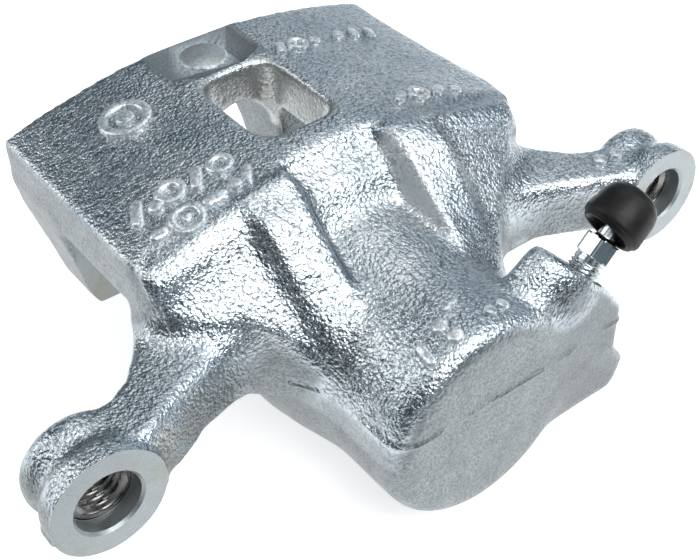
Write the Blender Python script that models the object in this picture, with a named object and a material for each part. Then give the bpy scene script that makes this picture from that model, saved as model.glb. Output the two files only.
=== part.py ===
"""Single-piston floating brake caliper: cast body, piston, seals and bleeder.

The frame has +Y along the piston axis, towards the fingers that reach over the disc, +X from ear
to ear and +Z away from the wheel axle.  The origin is the middle of the cylinder's closed end.
Sizes below are in millimetres, with Y counted from the plane of the two machined ear faces; they
are turned into metres and moved to the frame's origin as vertices are made.
"""
import math

import bmesh
import bpy
from mathutils import Matrix, Vector

MM = 0.001
GAP = 0.35                      # clearance between neighbouring pieces

# driving dimensions of the body
EAR_SPACING = 156.0             # between the two guide-pin holes
PIN_HEIGHT = 9.4                # of the guide-pin holes above the piston axis
PARTING_HEIGHT = 6.8            # of the mould's parting plane above the piston axis
BRIDGE_RADIUS = 157.6           # outer face of the bridge, about the wheel axle
BRIDGE_THICKNESS = 12.0
AXLE_DROP = 114.8               # wheel axle below the piston axis
BRIDGE_HALF_WIDTH = 51.6
BRIDGE_INNER_EDGE = 27.5        # where the disc space starts, along Y
BRIDGE_OUTER_FACE = 88.5
FINGER_FACE = 66.0              # inner face of the fingers, along Y
WINDOW_HALF_WIDTH = 10.2
WINDOW_FROM = 41.0
WINDOW_TO = 69.5
WINDOW_CORNER = 6.5

# driving dimensions of the bore and what it holds
PISTON_RADIUS = 21.45
PISTON_FROM = -15.0
PISTON_TO = 29.6
PISTON_TRAVEL = 22.0
BORE_RADIUS = PISTON_RADIUS + GAP
BORE_FLOOR = -18.3
MOUTH_FACE = 27.0
SEAL_FROM = 13.5
SEAL_WIDTH = 4.0
SEAL_GROOVE_RADIUS = 25.0
MOUTH_RADIUS = 26.8
MOUTH_FLOOR = 21.5
BOOT_GROOVE_FROM = 26.0
BOOT_GROOVE_TO = 28.0
BOOT_GROOVE_RADIUS = 20.2
END_FACE = -23.3                # closed end of the cylinder, along Y; the frame's origin

# guide-pin holes in the ears
ARM_TOP = 20.0                  # of the arms that carry them, above the piston axis
EAR_RADIUS = 12.8
EAR_LENGTH = 16.8
SEAT_RADIUS = 7.35
SEAT_DEPTH = 4.2
PIN_THREAD_RADIUS = 5.5

# bleeder screw, in a boss that leans outward at 45 degrees beside the cylinder
BLEED_Y = -17.0
BLEED_OFFSET = 7.3              # of its axis from the radial line through the piston axis
BLEED_FACE = 37.0               # distance of the boss face from the piston axis
BLEED_THREAD_RADIUS = 3.9
BLEED_TIP = 25.5                # point of its seat cone, from the piston axis
BOSS_ROUND_REACH = 10.5         # how far the boss's front rounding runs back along Y
BOSS_ROUND_WIDTH = 13.5         # how far it stands down at the front face
BOSS_BACK_ROUND = 3.0
HEX_ACROSS_FLATS = 8.0
HEX_FROM = BLEED_FACE + 3.8
HEX_HEIGHT = 4.8
NIPPLE_LENGTH = 9.0
CAP_LEAN = math.radians(15.0)   # of the cap's axis from the screw's axis
CAP_RADIUS = 7.3
CAP_LENGTH = 8.2

# hose port, in the underside of a lug beside the cylinder
PORT_X = 34.0
PORT_Y = -15.4
PORT_FACE = -15.4
PORT_RADIUS = 4.6

VOXEL = 1.3
CAST_TRIANGLES = 5600
ROUND = 48                      # segments of a large round face
SMALL_ROUND = 28


# ---------------------------------------------------------------- helpers

def clear_scene():
    for obj in list(bpy.data.objects):
        bpy.data.objects.remove(obj, do_unlink=True)


def make_material(name, colour, roughness, metallic):
    mat = bpy.data.materials.new(name)
    mat.use_nodes = True
    shader = mat.node_tree.nodes["Principled BSDF"]
    shader.inputs["Base Color"].default_value = (*colour, 1.0)
    shader.inputs["Roughness"].default_value = roughness
    shader.inputs["Metallic"].default_value = metallic
    mat.diffuse_color = (*colour, 1.0)
    return mat


def placed(point):
    """A point of the design, in the frame and in metres."""
    return Vector((point[0], point[1] - END_FACE, point[2])) * MM


def object_from(name, bm):
    bmesh.ops.recalc_face_normals(bm, faces=bm.faces)
    mesh = bpy.data.meshes.new(name)
    bm.to_mesh(mesh)
    bm.free()
    obj = bpy.data.objects.new(name, mesh)
    bpy.context.scene.collection.objects.link(obj)
    return obj


def loft(name, rings):
    """A closed solid through rings of the same number of points, with both ends capped."""
    bm = bmesh.new()
    rows = [[bm.verts.new(placed(point)) for point in ring] for ring in rings]
    count = len(rings[0])
    for low, high in zip(rows, rows[1:]):
        for i in range(count):
            j = (i + 1) % count
            bm.faces.new((low[i], low[j], high[j], high[i]))
    bm.faces.new(rows[0])
    bm.faces.new(rows[-1])
    return object_from(name, bm)


def prism_y(name, outline, y_from, y_to):
    """An outline of (x, z) points drawn out along Y."""
    return loft(name, [[(x, y, z) for x, z in outline] for y in (y_from, y_to)])


def prism_z(name, outline, levels):
    """An outline of (x, y) points drawn out along Z; each level is (z, scale about its middle)."""
    cx = sum(x for x, y in outline) / len(outline)
    cy = sum(y for x, y in outline) / len(outline)
    rings = []
    for z, scale in levels:
        rings.append([(cx + (x - cx) * scale, cy + (y - cy) * scale, z) for x, y in outline])
    return loft(name, rings)


def frame_along(origin, direction):
    """Matrix whose +Z runs along direction, from origin (millimetres)."""
    turn = Vector(direction).normalized().to_track_quat("Z", "Y").to_matrix().to_4x4()
    return Matrix.Translation(placed(origin)) @ turn


def turned(name, profile, origin, direction, segments, closed=False):
    """Turn a profile of (along, radius) points about the axis through origin.

    An open profile starts and ends on the axis; a closed one makes a ring.
    """
    bm = bmesh.new()
    place = frame_along(origin, direction)
    rows = []
    for along, radius in profile:
        if radius == 0.0:
            rows.append([bm.verts.new(place @ Vector((0, 0, along * MM)))])
            continue
        row = []
        for step in range(segments):
            angle = 2.0 * math.pi * step / segments
            spot = Vector((radius * math.cos(angle), radius * math.sin(angle), along))
            row.append(bm.verts.new(place @ (spot * MM)))
        rows.append(row)
    pairs = list(zip(rows, rows[1:]))
    if closed:
        pairs.append((rows[-1], rows[0]))
    for first, second in pairs:
        for i in range(segments):
            j = (i + 1) % segments
            corners = [first[i % len(first)], first[j % len(first)],
                       second[j % len(second)], second[i % len(second)]]
            bm.faces.new(list(dict.fromkeys(corners)))
    return object_from(name, bm)


def rounded_rectangle(half_x, y_from, y_to, radius, steps=4):
    points = []
    corners = ((half_x - radius, y_to - radius, 0), (-half_x + radius, y_to - radius, 90),
               (-half_x + radius, y_from + radius, 180), (half_x - radius, y_from + radius, 270))
    for x, y, start in corners:
        for step in range(steps + 1):
            angle = math.radians(start + 90.0 * step / steps)
            points.append((x + radius * math.cos(angle), y + radius * math.sin(angle)))
    return points


def bake(obj):
    """Replace the object's mesh with what its modifiers make of it."""
    graph = bpy.context.evaluated_depsgraph_get()
    mesh = bpy.data.meshes.new_from_object(obj.evaluated_get(graph))
    obj.modifiers.clear()
    obj.data = mesh


def combine(target, tool, operation):
    boolean = target.modifiers.new("combine", "BOOLEAN")
    boolean.operation = operation
    boolean.solver = "EXACT"
    boolean.object = tool
    bake(target)
    bpy.data.objects.remove(tool, do_unlink=True)


def add(target, *tools):
    for tool in tools:
        combine(target, tool, "UNION")


def cut(target, *tools):
    for tool in tools:
        combine(target, tool, "DIFFERENCE")


def joined(name, objects):
    """One mesh holding the overlapping blocks; the rounding that follows fuses them."""
    bm = bmesh.new()
    for obj in objects:
        bm.from_mesh(obj.data)
        bpy.data.objects.remove(obj, do_unlink=True)
    mesh = bpy.data.meshes.new(name)
    bm.to_mesh(mesh)
    bm.free()
    obj = bpy.data.objects.new(name, mesh)
    bpy.context.scene.collection.objects.link(obj)
    return obj


def finish(obj, material, smooth_angle=35.0):
    obj.data.materials.clear()
    obj.data.materials.append(material)
    obj.data.shade_smooth()
    obj.data.set_sharp_from_angle(angle=math.radians(smooth_angle))


def mirrored(points):
    """The same half outline on the other side of the middle plane."""
    return [(-x, *rest) for x, *rest in points]


# ---------------------------------------------------------------- cast body

def bridge_height(x, radius=BRIDGE_RADIUS):
    """Height of the bridge's curved face above the piston axis."""
    return math.sqrt(radius ** 2 - x ** 2) - AXLE_DROP


def bridge_plate():
    """The curved plate over the disc."""
    steps = 20
    inner = BRIDGE_RADIUS - BRIDGE_THICKNESS
    xs = [BRIDGE_HALF_WIDTH * (2.0 * i / steps - 1.0) for i in range(steps + 1)]
    outline = [(x, bridge_height(x)) for x in xs]
    outline += [(x * 0.985, bridge_height(x * 0.985, inner)) for x in reversed(xs)]
    return prism_y("bridge_plate", outline, 32.5, BRIDGE_OUTER_FACE)


def shoulder_stations():
    """Half cross-sections of the ribbed shoulder between bridge and cylinder, by Y.

    Points run from the valley in the middle over the rib's crest and the groove outside it to the
    outer facet and its side.
    """
    return (
        (34.0, ((0, 42.2), (10.6, 41.9), (13.6, 41.8), (14.6, 41.8), (25.4, 40.4),
                (27.0, 39.9), (50.2, 34.1), (51.2, 32.6))),
        (28.0, ((0, 37.8), (10.8, 37.2), (13.3, 42.6), (14.2, 43.2), (25.2, 41.6),
                (26.4, 40.9), (50.2, 34.1), (51.3, 32.0))),
        (21.0, ((0, 31.2), (10.8, 30.0), (13.4, 38.0), (14.4, 38.8), (24.9, 38.7),
                (27.4, 33.5), (44.8, 27.4), (46.3, 20.0))),
        (14.0, ((0, 25.6), (11.0, 24.4), (13.5, 31.6), (14.4, 32.5), (24.2, 31.6),
                (27.0, 27.1), (36.6, 24.2), (38.2, 18.0))),
        (6.0, ((0, 21.0), (11.0, 20.0), (13.5, 25.6), (14.5, 26.4), (23.4, 23.0),
               (25.6, 19.3), (28.2, 18.2), (29.4, 15.0))),
        (-3.0, ((0, 18.0), (10.0, 16.0), (12.6, 18.6), (14.6, 20.6), (22.6, 14.6),
                (24.4, 10.6), (24.8, 9.6), (25.0, 6.0))),
    )


def section_ring(y, half, floor):
    """A closed ring at station y; floor gives the height of its underside at each x."""
    top = mirrored(reversed(half)) + list(half[1:])
    under = [(x, floor(x)) for x, z in reversed(top)]
    return [(x, y, z) for x, z in top + under]


def shoulder():
    """Ribs, valley and facets that carry the bridge down to the cylinder."""
    stations = shoulder_stations()
    inner = BRIDGE_RADIUS - BRIDGE_THICKNESS
    edge = stations[1][1]
    sunk = tuple((0.97 * x, 0.93 * z) for x, z in edge)
    lowered = tuple((x, z - 0.25) for x, z in edge)
    over_disc = loft("over_disc", [
        section_ring(y, half, lambda x: bridge_height(x, inner) + 0.2)
        for y, half in (stations[0], stations[1], (24.0, sunk))])
    behind_disc = loft("behind_disc", [
        section_ring(y, half, lambda x: 2.0)
        for y, half in ((BRIDGE_INNER_EDGE, lowered),) + stations[2:]])
    add(over_disc, behind_disc)
    return over_disc


def right_flank():
    """The swelling of the bridge's side on +X, beside the right rib."""
    rings = []
    for y, reach, top in ((24.5, 50.6, 31.0), (31.0, 53.4, 34.0), (36.0, 54.2, 33.6),
                          (46.0, 54.8, 33.2), (54.0, 53.8, 33.4), (62.0, 51.2, 33.8)):
        foot = bridge_height(50.0, BRIDGE_RADIUS - BRIDGE_THICKNESS) + 1.0
        rings.append([(46.0, y, foot), (reach - 2.0, y, foot), (reach, y, top - 3.0),
                      (reach - 1.0, y, top), (46.0, y, top)])
    return loft("right_flank", rings)


def finger_wall():
    """The wall outside the disc, drawn in towards its foot; the fingers are cut from it."""
    rings = []
    for z, half_x, y_to in ((33.0, 50.8, 87.6), (25.0, 51.9, BRIDGE_OUTER_FACE - 0.2),
                            (18.5, 51.0, 86.0), (7.0, 48.0, 81.8), (0.0, 46.4, 79.6),
                            (-3.6, 44.6, 77.0)):
        y_from = FINGER_FACE - 0.6
        rings.append([(-half_x, y_from, z), (half_x, y_from, z), (half_x, y_to, z), (-half_x, y_to, z)])
    return loft("finger_wall", rings)


def finger_gap():
    """The round-topped slot between the two fingers."""
    outline = [(14.5, -12.0), (10.0, 22.0)]
    for step in range(1, 8):
        angle = math.pi * step / 8
        outline.append((10.0 * math.cos(angle), 23.5 + 9.5 * math.sin(angle)))
    outline += [(-10.0, 22.0), (-14.5, -12.0)]
    return prism_y("finger_gap", outline, 60.0, 95.0)


def window():
    """The inspection window through the bridge."""
    outline = rounded_rectangle(WINDOW_HALF_WIDTH, WINDOW_FROM, WINDOW_TO, WINDOW_CORNER)
    return prism_z("window", outline, ((24.0, 0.93), (50.0, 1.04)))


def barrel():
    """The cylinder: a plain barrel that swells towards its mouth."""
    start = END_FACE - 0.5
    profile = ((start, 0.0), (start, 22.4), (END_FACE + 0.8, 24.6), (END_FACE + 3.2, 26.0),
               (-1.5, 26.0), (2.5, 26.6), (8.0, 27.7), (13.5, 28.9), (22.0, 30.2),
               (MOUTH_FACE + 0.8, 30.4), (MOUTH_FACE + 0.8, 0.0))
    return turned("barrel", profile, (0, 0, 0), (0, 1, 0), ROUND)


def arm(side):
    """One arm, from the side of the cylinder and bridge out to its ear; side is -1 or 1."""
    inboard = ((78.0, 1.5), (70.0, -0.2), (65.7, 0.2), (59.7, 3.3), (53.1, 6.7), (47.3, 8.9),
               (42.1, 10.2), (37.4, 10.2), (31.7, 8.4), (26.8, 5.0), (18.0, 0.0))
    outboard = ((18.0, 27.0), (49.5, 27.0), (50.6, 34.0), (52.6, 33.2), (54.8, 29.4), (58.0, 24.5),
                (63.0, 18.6), (68.5, 15.6), (78.0, 15.0))
    rings = []
    for z, draft, reach in ((0.6, 7.4, 27.2), (3.6, 3.8, 27.2), (PARTING_HEIGHT, 0.0, 27.4),
                            (13.0, 0.8, 28.0), (17.8, 1.6, 36.0), (ARM_TOP, 3.0, 36.0)):
        ring = [(side * x, y + draft, z) for x, y in inboard]
        ring += [(side * x, min(y, reach), z) for x, y in outboard[:4]]
        ring += [(side * x, min(y, reach) - 0.4 * draft, z) for x, y in outboard[4:]]
        rings.append(ring)
    return loft("arm", rings)


def arm_root(side):
    """The web that closes the corner between an arm's top and the end of the bridge."""
    outline = [(side * x, y) for x, y in
               ((44.0, 25.0), (51.6, 25.0), (52.4, 29.5), (51.8, 35.0), (44.0, 35.0))]
    return prism_z("arm_root", outline, ((16.0, 1.04), (21.0, 1.0), (30.0, 0.98)))


def arm_fillet(side):
    """The sloping foot of the shoulder's side, where it stands on an arm's top."""
    rings = []
    for x, y, out, rise in ((52.0, 28.0, 5.0, 5.0), (49.6, 24.6, 5.0, 5.0), (46.0, 20.8, 5.0, 4.6),
                            (41.6, 16.8, 3.8, 3.6), (38.6, 14.0, 1.8, 2.4)):
        foot_x = x + 0.73 * out
        foot_y = y - 0.68 * out
        rings.append([(side * (x - 2.0), y + 2.0, 17.0), (side * foot_x, foot_y, 17.0),
                      (side * foot_x, foot_y, ARM_TOP + 0.1), (side * x, y, ARM_TOP + rise),
                      (side * (x - 2.0), y + 2.0, ARM_TOP + rise)])
    return loft("arm_fillet", rings)


def end_rail(side):
    """The rail along an end of the bridge, a little deeper than the bridge itself."""
    outline = [(side * x, z) for x, z in
               ((44.6, 26.0), (46.8, 19.9), (50.0, 19.6), (51.5, 31.0), (47.0, 33.0))]
    return prism_y("end_rail", outline, 30.0, 67.0)


def ear(side):
    """The boss round a guide-pin hole, with a waist between its front ring and its rear."""
    profile = ((-1.2, 0.0), (-1.2, EAR_RADIUS), (4.6, EAR_RADIUS), (7.0, 11.2), (8.6, 10.9),
               (10.4, 11.6), (13.4, 12.0), (15.6, 11.0), (EAR_LENGTH, 8.6), (EAR_LENGTH, 0.0))
    centre = (side * EAR_SPACING / 2.0, 0, PIN_HEIGHT)
    return turned("ear", profile, centre, (0, 1, 0), 40)


def rounding(depth, reach, width):
    """How far an edge rounded to a quarter ellipse stands back, at a depth inside its face."""
    left = max(1.0 - depth / reach, 0.0)
    return width * (1.0 - math.sqrt(1.0 - left ** 2))


def bleeder_boss():
    """The block beside the cylinder that takes the bleeder screw, and the hose lug under it.

    The boss's upper side is rounded over to the front and to the back.
    """
    lean = math.sqrt(0.5)

    def at(distance, offset):
        return ((distance + offset) * lean, (distance - offset) * lean)

    front = END_FACE + 0.3
    back = BLEED_Y + 7.4
    rings = []
    for share in (0.0, 0.03, 0.08, 0.16, 0.28, 0.42, 0.60, 0.75, 0.87, 0.95, 1.0):
        y = front + share * (back - front)
        sunk = rounding(y - front, BOSS_ROUND_REACH, BOSS_ROUND_WIDTH)
        sunk += rounding(back - y, BOSS_BACK_ROUND, BOSS_BACK_ROUND)
        outline = ((0.0, 0.0), at(22.0, sunk - 9.0), at(BLEED_FACE - 1.6, sunk - 6.6),
                   at(BLEED_FACE, sunk - 5.4), at(BLEED_FACE, 12.6), (40.2, 11.0), (40.2, -3.0),
                   (20.0, -6.0))
        rings.append([(x, y, z) for x, z in outline])
    boss = loft("bleeder_boss", rings)
    low = PORT_FACE - 0.6
    lug_outline = [(0.0, 0.0), (30.0, 2.0), (40.2, -1.6), (40.6, -3.4), (44.4, -8.0),
                   (42.6, -13.6), (40.8, low), (16.0, low)]
    lug = prism_y("hose_lug", lug_outline, END_FACE + 0.6, -8.0)
    return boss, lug


def locating_pad():
    """The small round pad at the middle of the outer edge, in its shallow recess."""
    return turned("locating_pad", ((36.0, 0.0), (36.0, 5.9), (42.6, 5.9), (42.6, 0.0)),
                  (-1.0, 79.6, 0), (0, 0, 1), SMALL_ROUND)


def pad_recess():
    outline = [(11.5, 74.0), (12.5, 95.0), (-13.5, 95.0), (-12.5, 74.0), (-6.0, 71.5), (5.0, 71.5)]
    return prism_z("pad_recess", outline, ((42.0, 1.0), (48.0, 1.02)))


def cast_body():
    """The casting as it leaves the mould: the blocks joined, then rounded all over."""
    over_disc = bridge_plate()
    add(over_disc, finger_wall())
    cut(over_disc, finger_gap(), window())
    blocks = [over_disc, shoulder(), right_flank(), barrel(), *bleeder_boss()]
    for side in (-1, 1):
        blocks += [arm(side), arm_root(side), arm_fillet(side), end_rail(side), ear(side)]
    body = joined("caliper_housing", blocks)
    remesh = body.modifiers.new("round_off", "REMESH")
    remesh.mode = "VOXEL"
    remesh.voxel_size = VOXEL * MM
    smooth = body.modifiers.new("soften", "SMOOTH")
    smooth.factor = 0.5
    smooth.iterations = 2
    bake(body)
    triangles = sum(len(face.vertices) - 2 for face in body.data.polygons)
    decimate = body.modifiers.new("thin_out", "DECIMATE")
    decimate.ratio = CAST_TRIANGLES / triangles
    decimate.use_collapse_triangulate = True
    bake(body)
    cut(body, pad_recess())
    add(body, locating_pad())
    return body


# ---------------------------------------------------------------- machining

def bleed_point(distance):
    """A point on the bleeder's axis, at a distance from the piston axis along its lean."""
    lean = math.sqrt(0.5)
    return ((distance + BLEED_OFFSET) * lean, BLEED_Y, (distance - BLEED_OFFSET) * lean)


BLEED_DIRECTION = (math.sqrt(0.5), 0.0, math.sqrt(0.5))


def box(name, low, high):
    corners = [(low[0], low[1]), (high[0], low[1]), (high[0], high[1]), (low[0], high[1])]
    return loft(name, [[(x, y, z) for x, y in corners] for z in (low[2], high[2])])


def bore_cutter():
    groove_to = SEAL_FROM + SEAL_WIDTH + 2.0 * GAP
    profile = ((BORE_FLOOR, 0.0), (BORE_FLOOR, BORE_RADIUS - 1.4), (BORE_FLOOR + 1.4, BORE_RADIUS),
               (SEAL_FROM - GAP, BORE_RADIUS), (SEAL_FROM - GAP, SEAL_GROOVE_RADIUS + GAP),
               (groove_to - GAP, SEAL_GROOVE_RADIUS + GAP), (groove_to - GAP, BORE_RADIUS),
               (MOUTH_FLOOR, BORE_RADIUS), (MOUTH_FLOOR, MOUTH_RADIUS),
               (MOUTH_FACE - 0.8, MOUTH_RADIUS), (MOUTH_FACE + 0.4, MOUTH_RADIUS + 1.2),
               (MOUTH_FACE + 6.0, MOUTH_RADIUS + 1.2), (MOUTH_FACE + 6.0, 0.0))
    return turned("bore_cutter", profile, (0, 0, 0), (0, 1, 0), ROUND)


def pin_hole_cutter(side):
    chamfer = 0.6
    profile = ((-4.0, 0.0), (-4.0, SEAT_RADIUS + chamfer + 4.0), (chamfer, SEAT_RADIUS),
               (SEAT_DEPTH, SEAT_RADIUS),
               (SEAT_DEPTH, PIN_THREAD_RADIUS + 0.9), (SEAT_DEPTH + 0.9, PIN_THREAD_RADIUS),
               (EAR_LENGTH + 4.0, PIN_THREAD_RADIUS), (EAR_LENGTH + 4.0, 0.0))
    centre = (side * EAR_SPACING / 2.0, 0, PIN_HEIGHT)
    return turned("pin_hole", profile, centre, (0, 1, 0), 32)


def bleeder_port_cutter():
    hole = BLEED_THREAD_RADIUS + GAP
    profile = ((10.0, 0.0), (10.0, 1.3), (BLEED_TIP - 1.8, 1.3), (BLEED_TIP + hole - 3.1, hole),
               (BLEED_FACE - 0.8, hole), (BLEED_FACE - 0.4, hole + 0.4),
               (BLEED_FACE - 0.4, 4.9), (BLEED_FACE + 6.0, 4.9), (BLEED_FACE + 6.0, 0.0))
    origin = Vector(bleed_point(0.0))
    return turned("bleeder_port", profile, origin, BLEED_DIRECTION, SMALL_ROUND)


def hose_port_cutter():
    profile = ((PORT_FACE - 6.0, 0.0), (PORT_FACE - 6.0, 6.2), (PORT_FACE, 6.2),
               (PORT_FACE, PORT_RADIUS + 0.5), (PORT_FACE + 0.5, PORT_RADIUS),
               (PORT_FACE + 9.0, PORT_RADIUS), (PORT_FACE + 10.8, 0.0))
    return turned("hose_port", profile, (PORT_X, PORT_Y, 0), (0, 0, 1), SMALL_ROUND)


def hose_passage_cutter():
    start = Vector((PORT_X, PORT_Y, PORT_FACE + 7.5))
    end = Vector((15.0, PORT_Y, 2.0))
    length = (end - start).length
    profile = ((0.0, 0.0), (0.0, 1.3), (length, 1.3), (length, 0.0))
    return turned("hose_passage", profile, start, end - start, 12)


def caliper_housing(material):
    body = cast_body()
    reach = EAR_SPACING / 2.0 + 20.0
    cut(body, box("left_ear_face", (-reach, -8.0, -9.0), (-64.0, 0.0, 29.0)),
        box("right_ear_face", (64.0, -8.0, -9.0), (reach, 0.0, 29.0)),
        box("closed_end_face", (-60.0, END_FACE - 8.0, -40.0), (60.0, END_FACE, 40.0)),
        box("mouth_face", (-49.0, MOUTH_FACE, -34.0), (49.0, FINGER_FACE, 18.5)))
    cut(body, bore_cutter(), pin_hole_cutter(-1), pin_hole_cutter(1))
    cut(body, bleeder_port_cutter(), hose_port_cutter(), hose_passage_cutter())
    body.data.name = "caliper_housing"
    finish(body, material)
    return body


# ---------------------------------------------------------------- what the body holds

def piston(material):
    """A hollow cup, open towards the pad, with a groove for the boot's bead."""
    r = PISTON_RADIUS
    wall = 4.6
    profile = ((PISTON_FROM, 0.0), (PISTON_FROM, r - 2.0), (PISTON_FROM + 2.0, r),
               (BOOT_GROOVE_FROM, r), (BOOT_GROOVE_FROM, BOOT_GROOVE_RADIUS),
               (BOOT_GROOVE_TO, BOOT_GROOVE_RADIUS), (BOOT_GROOVE_TO, r - 0.2),
               (PISTON_TO - 0.6, r - 0.2), (PISTON_TO, r - 0.8), (PISTON_TO, r - wall + 0.6),
               (PISTON_TO - 0.6, r - wall), (PISTON_FROM + 9.0, r - wall - 0.6),
               (PISTON_FROM + 6.5, r - wall - 3.0), (PISTON_FROM + 6.5, 0.0))
    obj = turned("piston", profile, (0, 0, 0), (0, 1, 0), ROUND)
    finish(obj, material)
    return obj


def piston_seal(material):
    """A square-section ring in its groove in the bore."""
    inner = PISTON_RADIUS + 0.3
    outer = SEAL_GROOVE_RADIUS
    start = SEAL_FROM
    end = SEAL_FROM + SEAL_WIDTH
    profile = ((start, inner + 0.3), (start, outer), (end, outer), (end, inner), (start + 0.5, inner))
    obj = turned("piston_seal", profile, (0, 0, 0), (0, 1, 0), ROUND, closed=True)
    finish(obj, material)
    return obj


def dust_boot(material):
    """A rubber ring: rim in the body's mouth, one fold, and a bead in the piston's groove."""
    rim_out = MOUTH_RADIUS - GAP
    profile = ((MOUTH_FLOOR + GAP, 24.2), (MOUTH_FLOOR + GAP, rim_out), (24.2, rim_out),
               (24.2, 24.9), (26.2, 24.6), (27.4, 23.4), (27.6, 21.9), (27.6, 20.6),
               (26.4, 20.6), (26.4, 22.2), (25.4, 23.5), (23.6, 23.8))
    obj = turned("dust_boot", profile, (0, 0, 0), (0, 1, 0), 40, closed=True)
    finish(obj, material)
    return obj


def boot_retaining_ring(material):
    """The split wire ring that holds the boot's rim in the mouth."""
    wire = 0.75
    middle = 25.75
    along = 25.35
    sides = 8
    gap_angle = math.radians(14.0)
    steps = 56
    bm = bmesh.new()
    rows = []
    for step in range(steps + 1):
        angle = math.radians(-90.0) + gap_angle / 2.0 + (2.0 * math.pi - gap_angle) * step / steps
        row = []
        for side in range(sides):
            turn = 2.0 * math.pi * side / sides
            radius = middle + wire * math.cos(turn)
            spot = Vector((radius * math.cos(angle), along + wire * math.sin(turn),
                           radius * math.sin(angle)))
            row.append(bm.verts.new(placed(spot)))
        rows.append(row)
    for first, second in zip(rows, rows[1:]):
        for i in range(sides):
            j = (i + 1) % sides
            bm.faces.new((first[i], first[j], second[j], second[i]))
    bm.faces.new(rows[0])
    bm.faces.new(rows[-1])
    obj = object_from("boot_retaining_ring", bm)
    finish(obj, material, 50.0)
    return obj


def place_on_axis(obj, point):
    """Move the object's origin to point (millimetres) without moving its mesh."""
    shift = placed(point)
    obj.data.transform(Matrix.Translation(-shift))
    obj.location = shift


def hexagon(name, across_flats, origin, direction, start, end, turn):
    """A six-sided head with its corners chamfered at both ends."""
    flat = across_flats / 2.0
    corner = flat / math.cos(math.pi / 6.0)
    place = frame_along(origin, direction) @ Matrix.Rotation(turn, 4, "Z")
    bm = bmesh.new()
    rows = []
    for along in (start, end):
        row = []
        for step in range(6):
            angle = math.pi / 3.0 * step
            spot = Vector((corner * math.cos(angle), corner * math.sin(angle), along))
            row.append(bm.verts.new(place @ (spot * MM)))
        rows.append(row)
    for i in range(6):
        j = (i + 1) % 6
        bm.faces.new((rows[0][i], rows[0][j], rows[1][j], rows[1][i]))
    bm.faces.new(rows[0])
    bm.faces.new(rows[1])
    prism = object_from(name, bm)
    lead = corner - flat
    limits = ((start, 0.0), (start, flat - 0.1), (start + 0.6 * lead, corner + 0.02),
              (end - 0.6 * lead, corner + 0.02), (end, flat - 0.1), (end, 0.0))
    combine(prism, turned("hex_limits", limits, origin, direction, 36), "INTERSECT")
    return prism


def bleeder_screw(material):
    """Seat cone, thread with its core hole, hexagon and hose nipple, in one piece."""
    r = BLEED_THREAD_RADIUS
    hex_to = HEX_FROM + HEX_HEIGHT
    tip = hex_to + NIPPLE_LENGTH
    shank = ((BLEED_TIP, 0.0), (BLEED_TIP, 0.9), (BLEED_TIP + 1.9, r - 0.8), (BLEED_TIP + 4.6, r - 0.8),
             (BLEED_TIP + 5.4, r), (HEX_FROM - 1.5, r), (HEX_FROM - 1.0, r - 0.5),
             (HEX_FROM + 0.5, r - 0.5), (HEX_FROM + 0.5, 0.0))
    nipple = ((hex_to - 0.5, 0.0), (hex_to - 0.5, 2.5), (hex_to + 0.6, 2.35), (tip - 4.2, 2.2),
              (tip - 3.6, 2.7), (tip - 2.6, 2.7), (tip, 1.9), (tip, 0.0))
    origin = bleed_point(0.0)
    screw = hexagon("bleeder_screw", HEX_ACROSS_FLATS, origin, BLEED_DIRECTION, HEX_FROM, hex_to,
                    math.radians(8.0))
    add(screw, turned("shank", shank, origin, BLEED_DIRECTION, SMALL_ROUND),
        turned("nipple", nipple, origin, BLEED_DIRECTION, 24))
    core = ((BLEED_TIP + 3.2, 0.0), (BLEED_TIP + 3.2, 0.8), (tip + 2.0, 0.8), (tip + 2.0, 0.0))
    cut(screw, turned("core_hole", core, origin, BLEED_DIRECTION, 12))
    across = Vector(bleed_point(BLEED_TIP + 3.8)) - Vector((0, 6.0, 0))
    cross = ((0.0, 0.0), (0.0, 0.6), (12.0, 0.6), (12.0, 0.0))
    cut(screw, turned("cross_hole", cross, across, (0, 1, 0), 10))
    place_on_axis(screw, bleed_point(BLEED_FACE))
    finish(screw, material, 30.0)
    return screw


def cap_direction():
    """The cap leans from the screw's axis towards +X."""
    angle = math.pi / 4.0 - CAP_LEAN
    return (math.cos(angle), 0.0, math.sin(angle))


def bleeder_cap(material):
    """A rubber cup with a thick lip, loose over the nipple's barb."""
    pivot = Vector(bleed_point(HEX_FROM + HEX_HEIGHT + NIPPLE_LENGTH - 3.0))
    direction = Vector(cap_direction())
    lip = -4.6
    top = lip + CAP_LENGTH
    profile = ((lip + 0.9, 4.5), (lip, 5.2), (lip, 6.2), (lip + 0.9, 6.5), (lip + 1.0, 7.0),
               (lip + 1.8, CAP_RADIUS), (lip + 3.0, CAP_RADIUS - 0.1), (top + 0.6, 6.3),
               (top + 2.2, 5.2), (top + 3.0, 3.4), (top + 3.2, 0.0))
    inside = ((top + 1.6, 0.0), (top + 1.6, 3.1), (lip + 4.2, 3.3), (lip + 2.6, 4.4))
    cap = turned("bleeder_cap", profile[::-1] + inside[::-1], pivot, direction, 32)
    place_on_axis(cap, pivot)
    finish(cap, material)
    return cap


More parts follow.
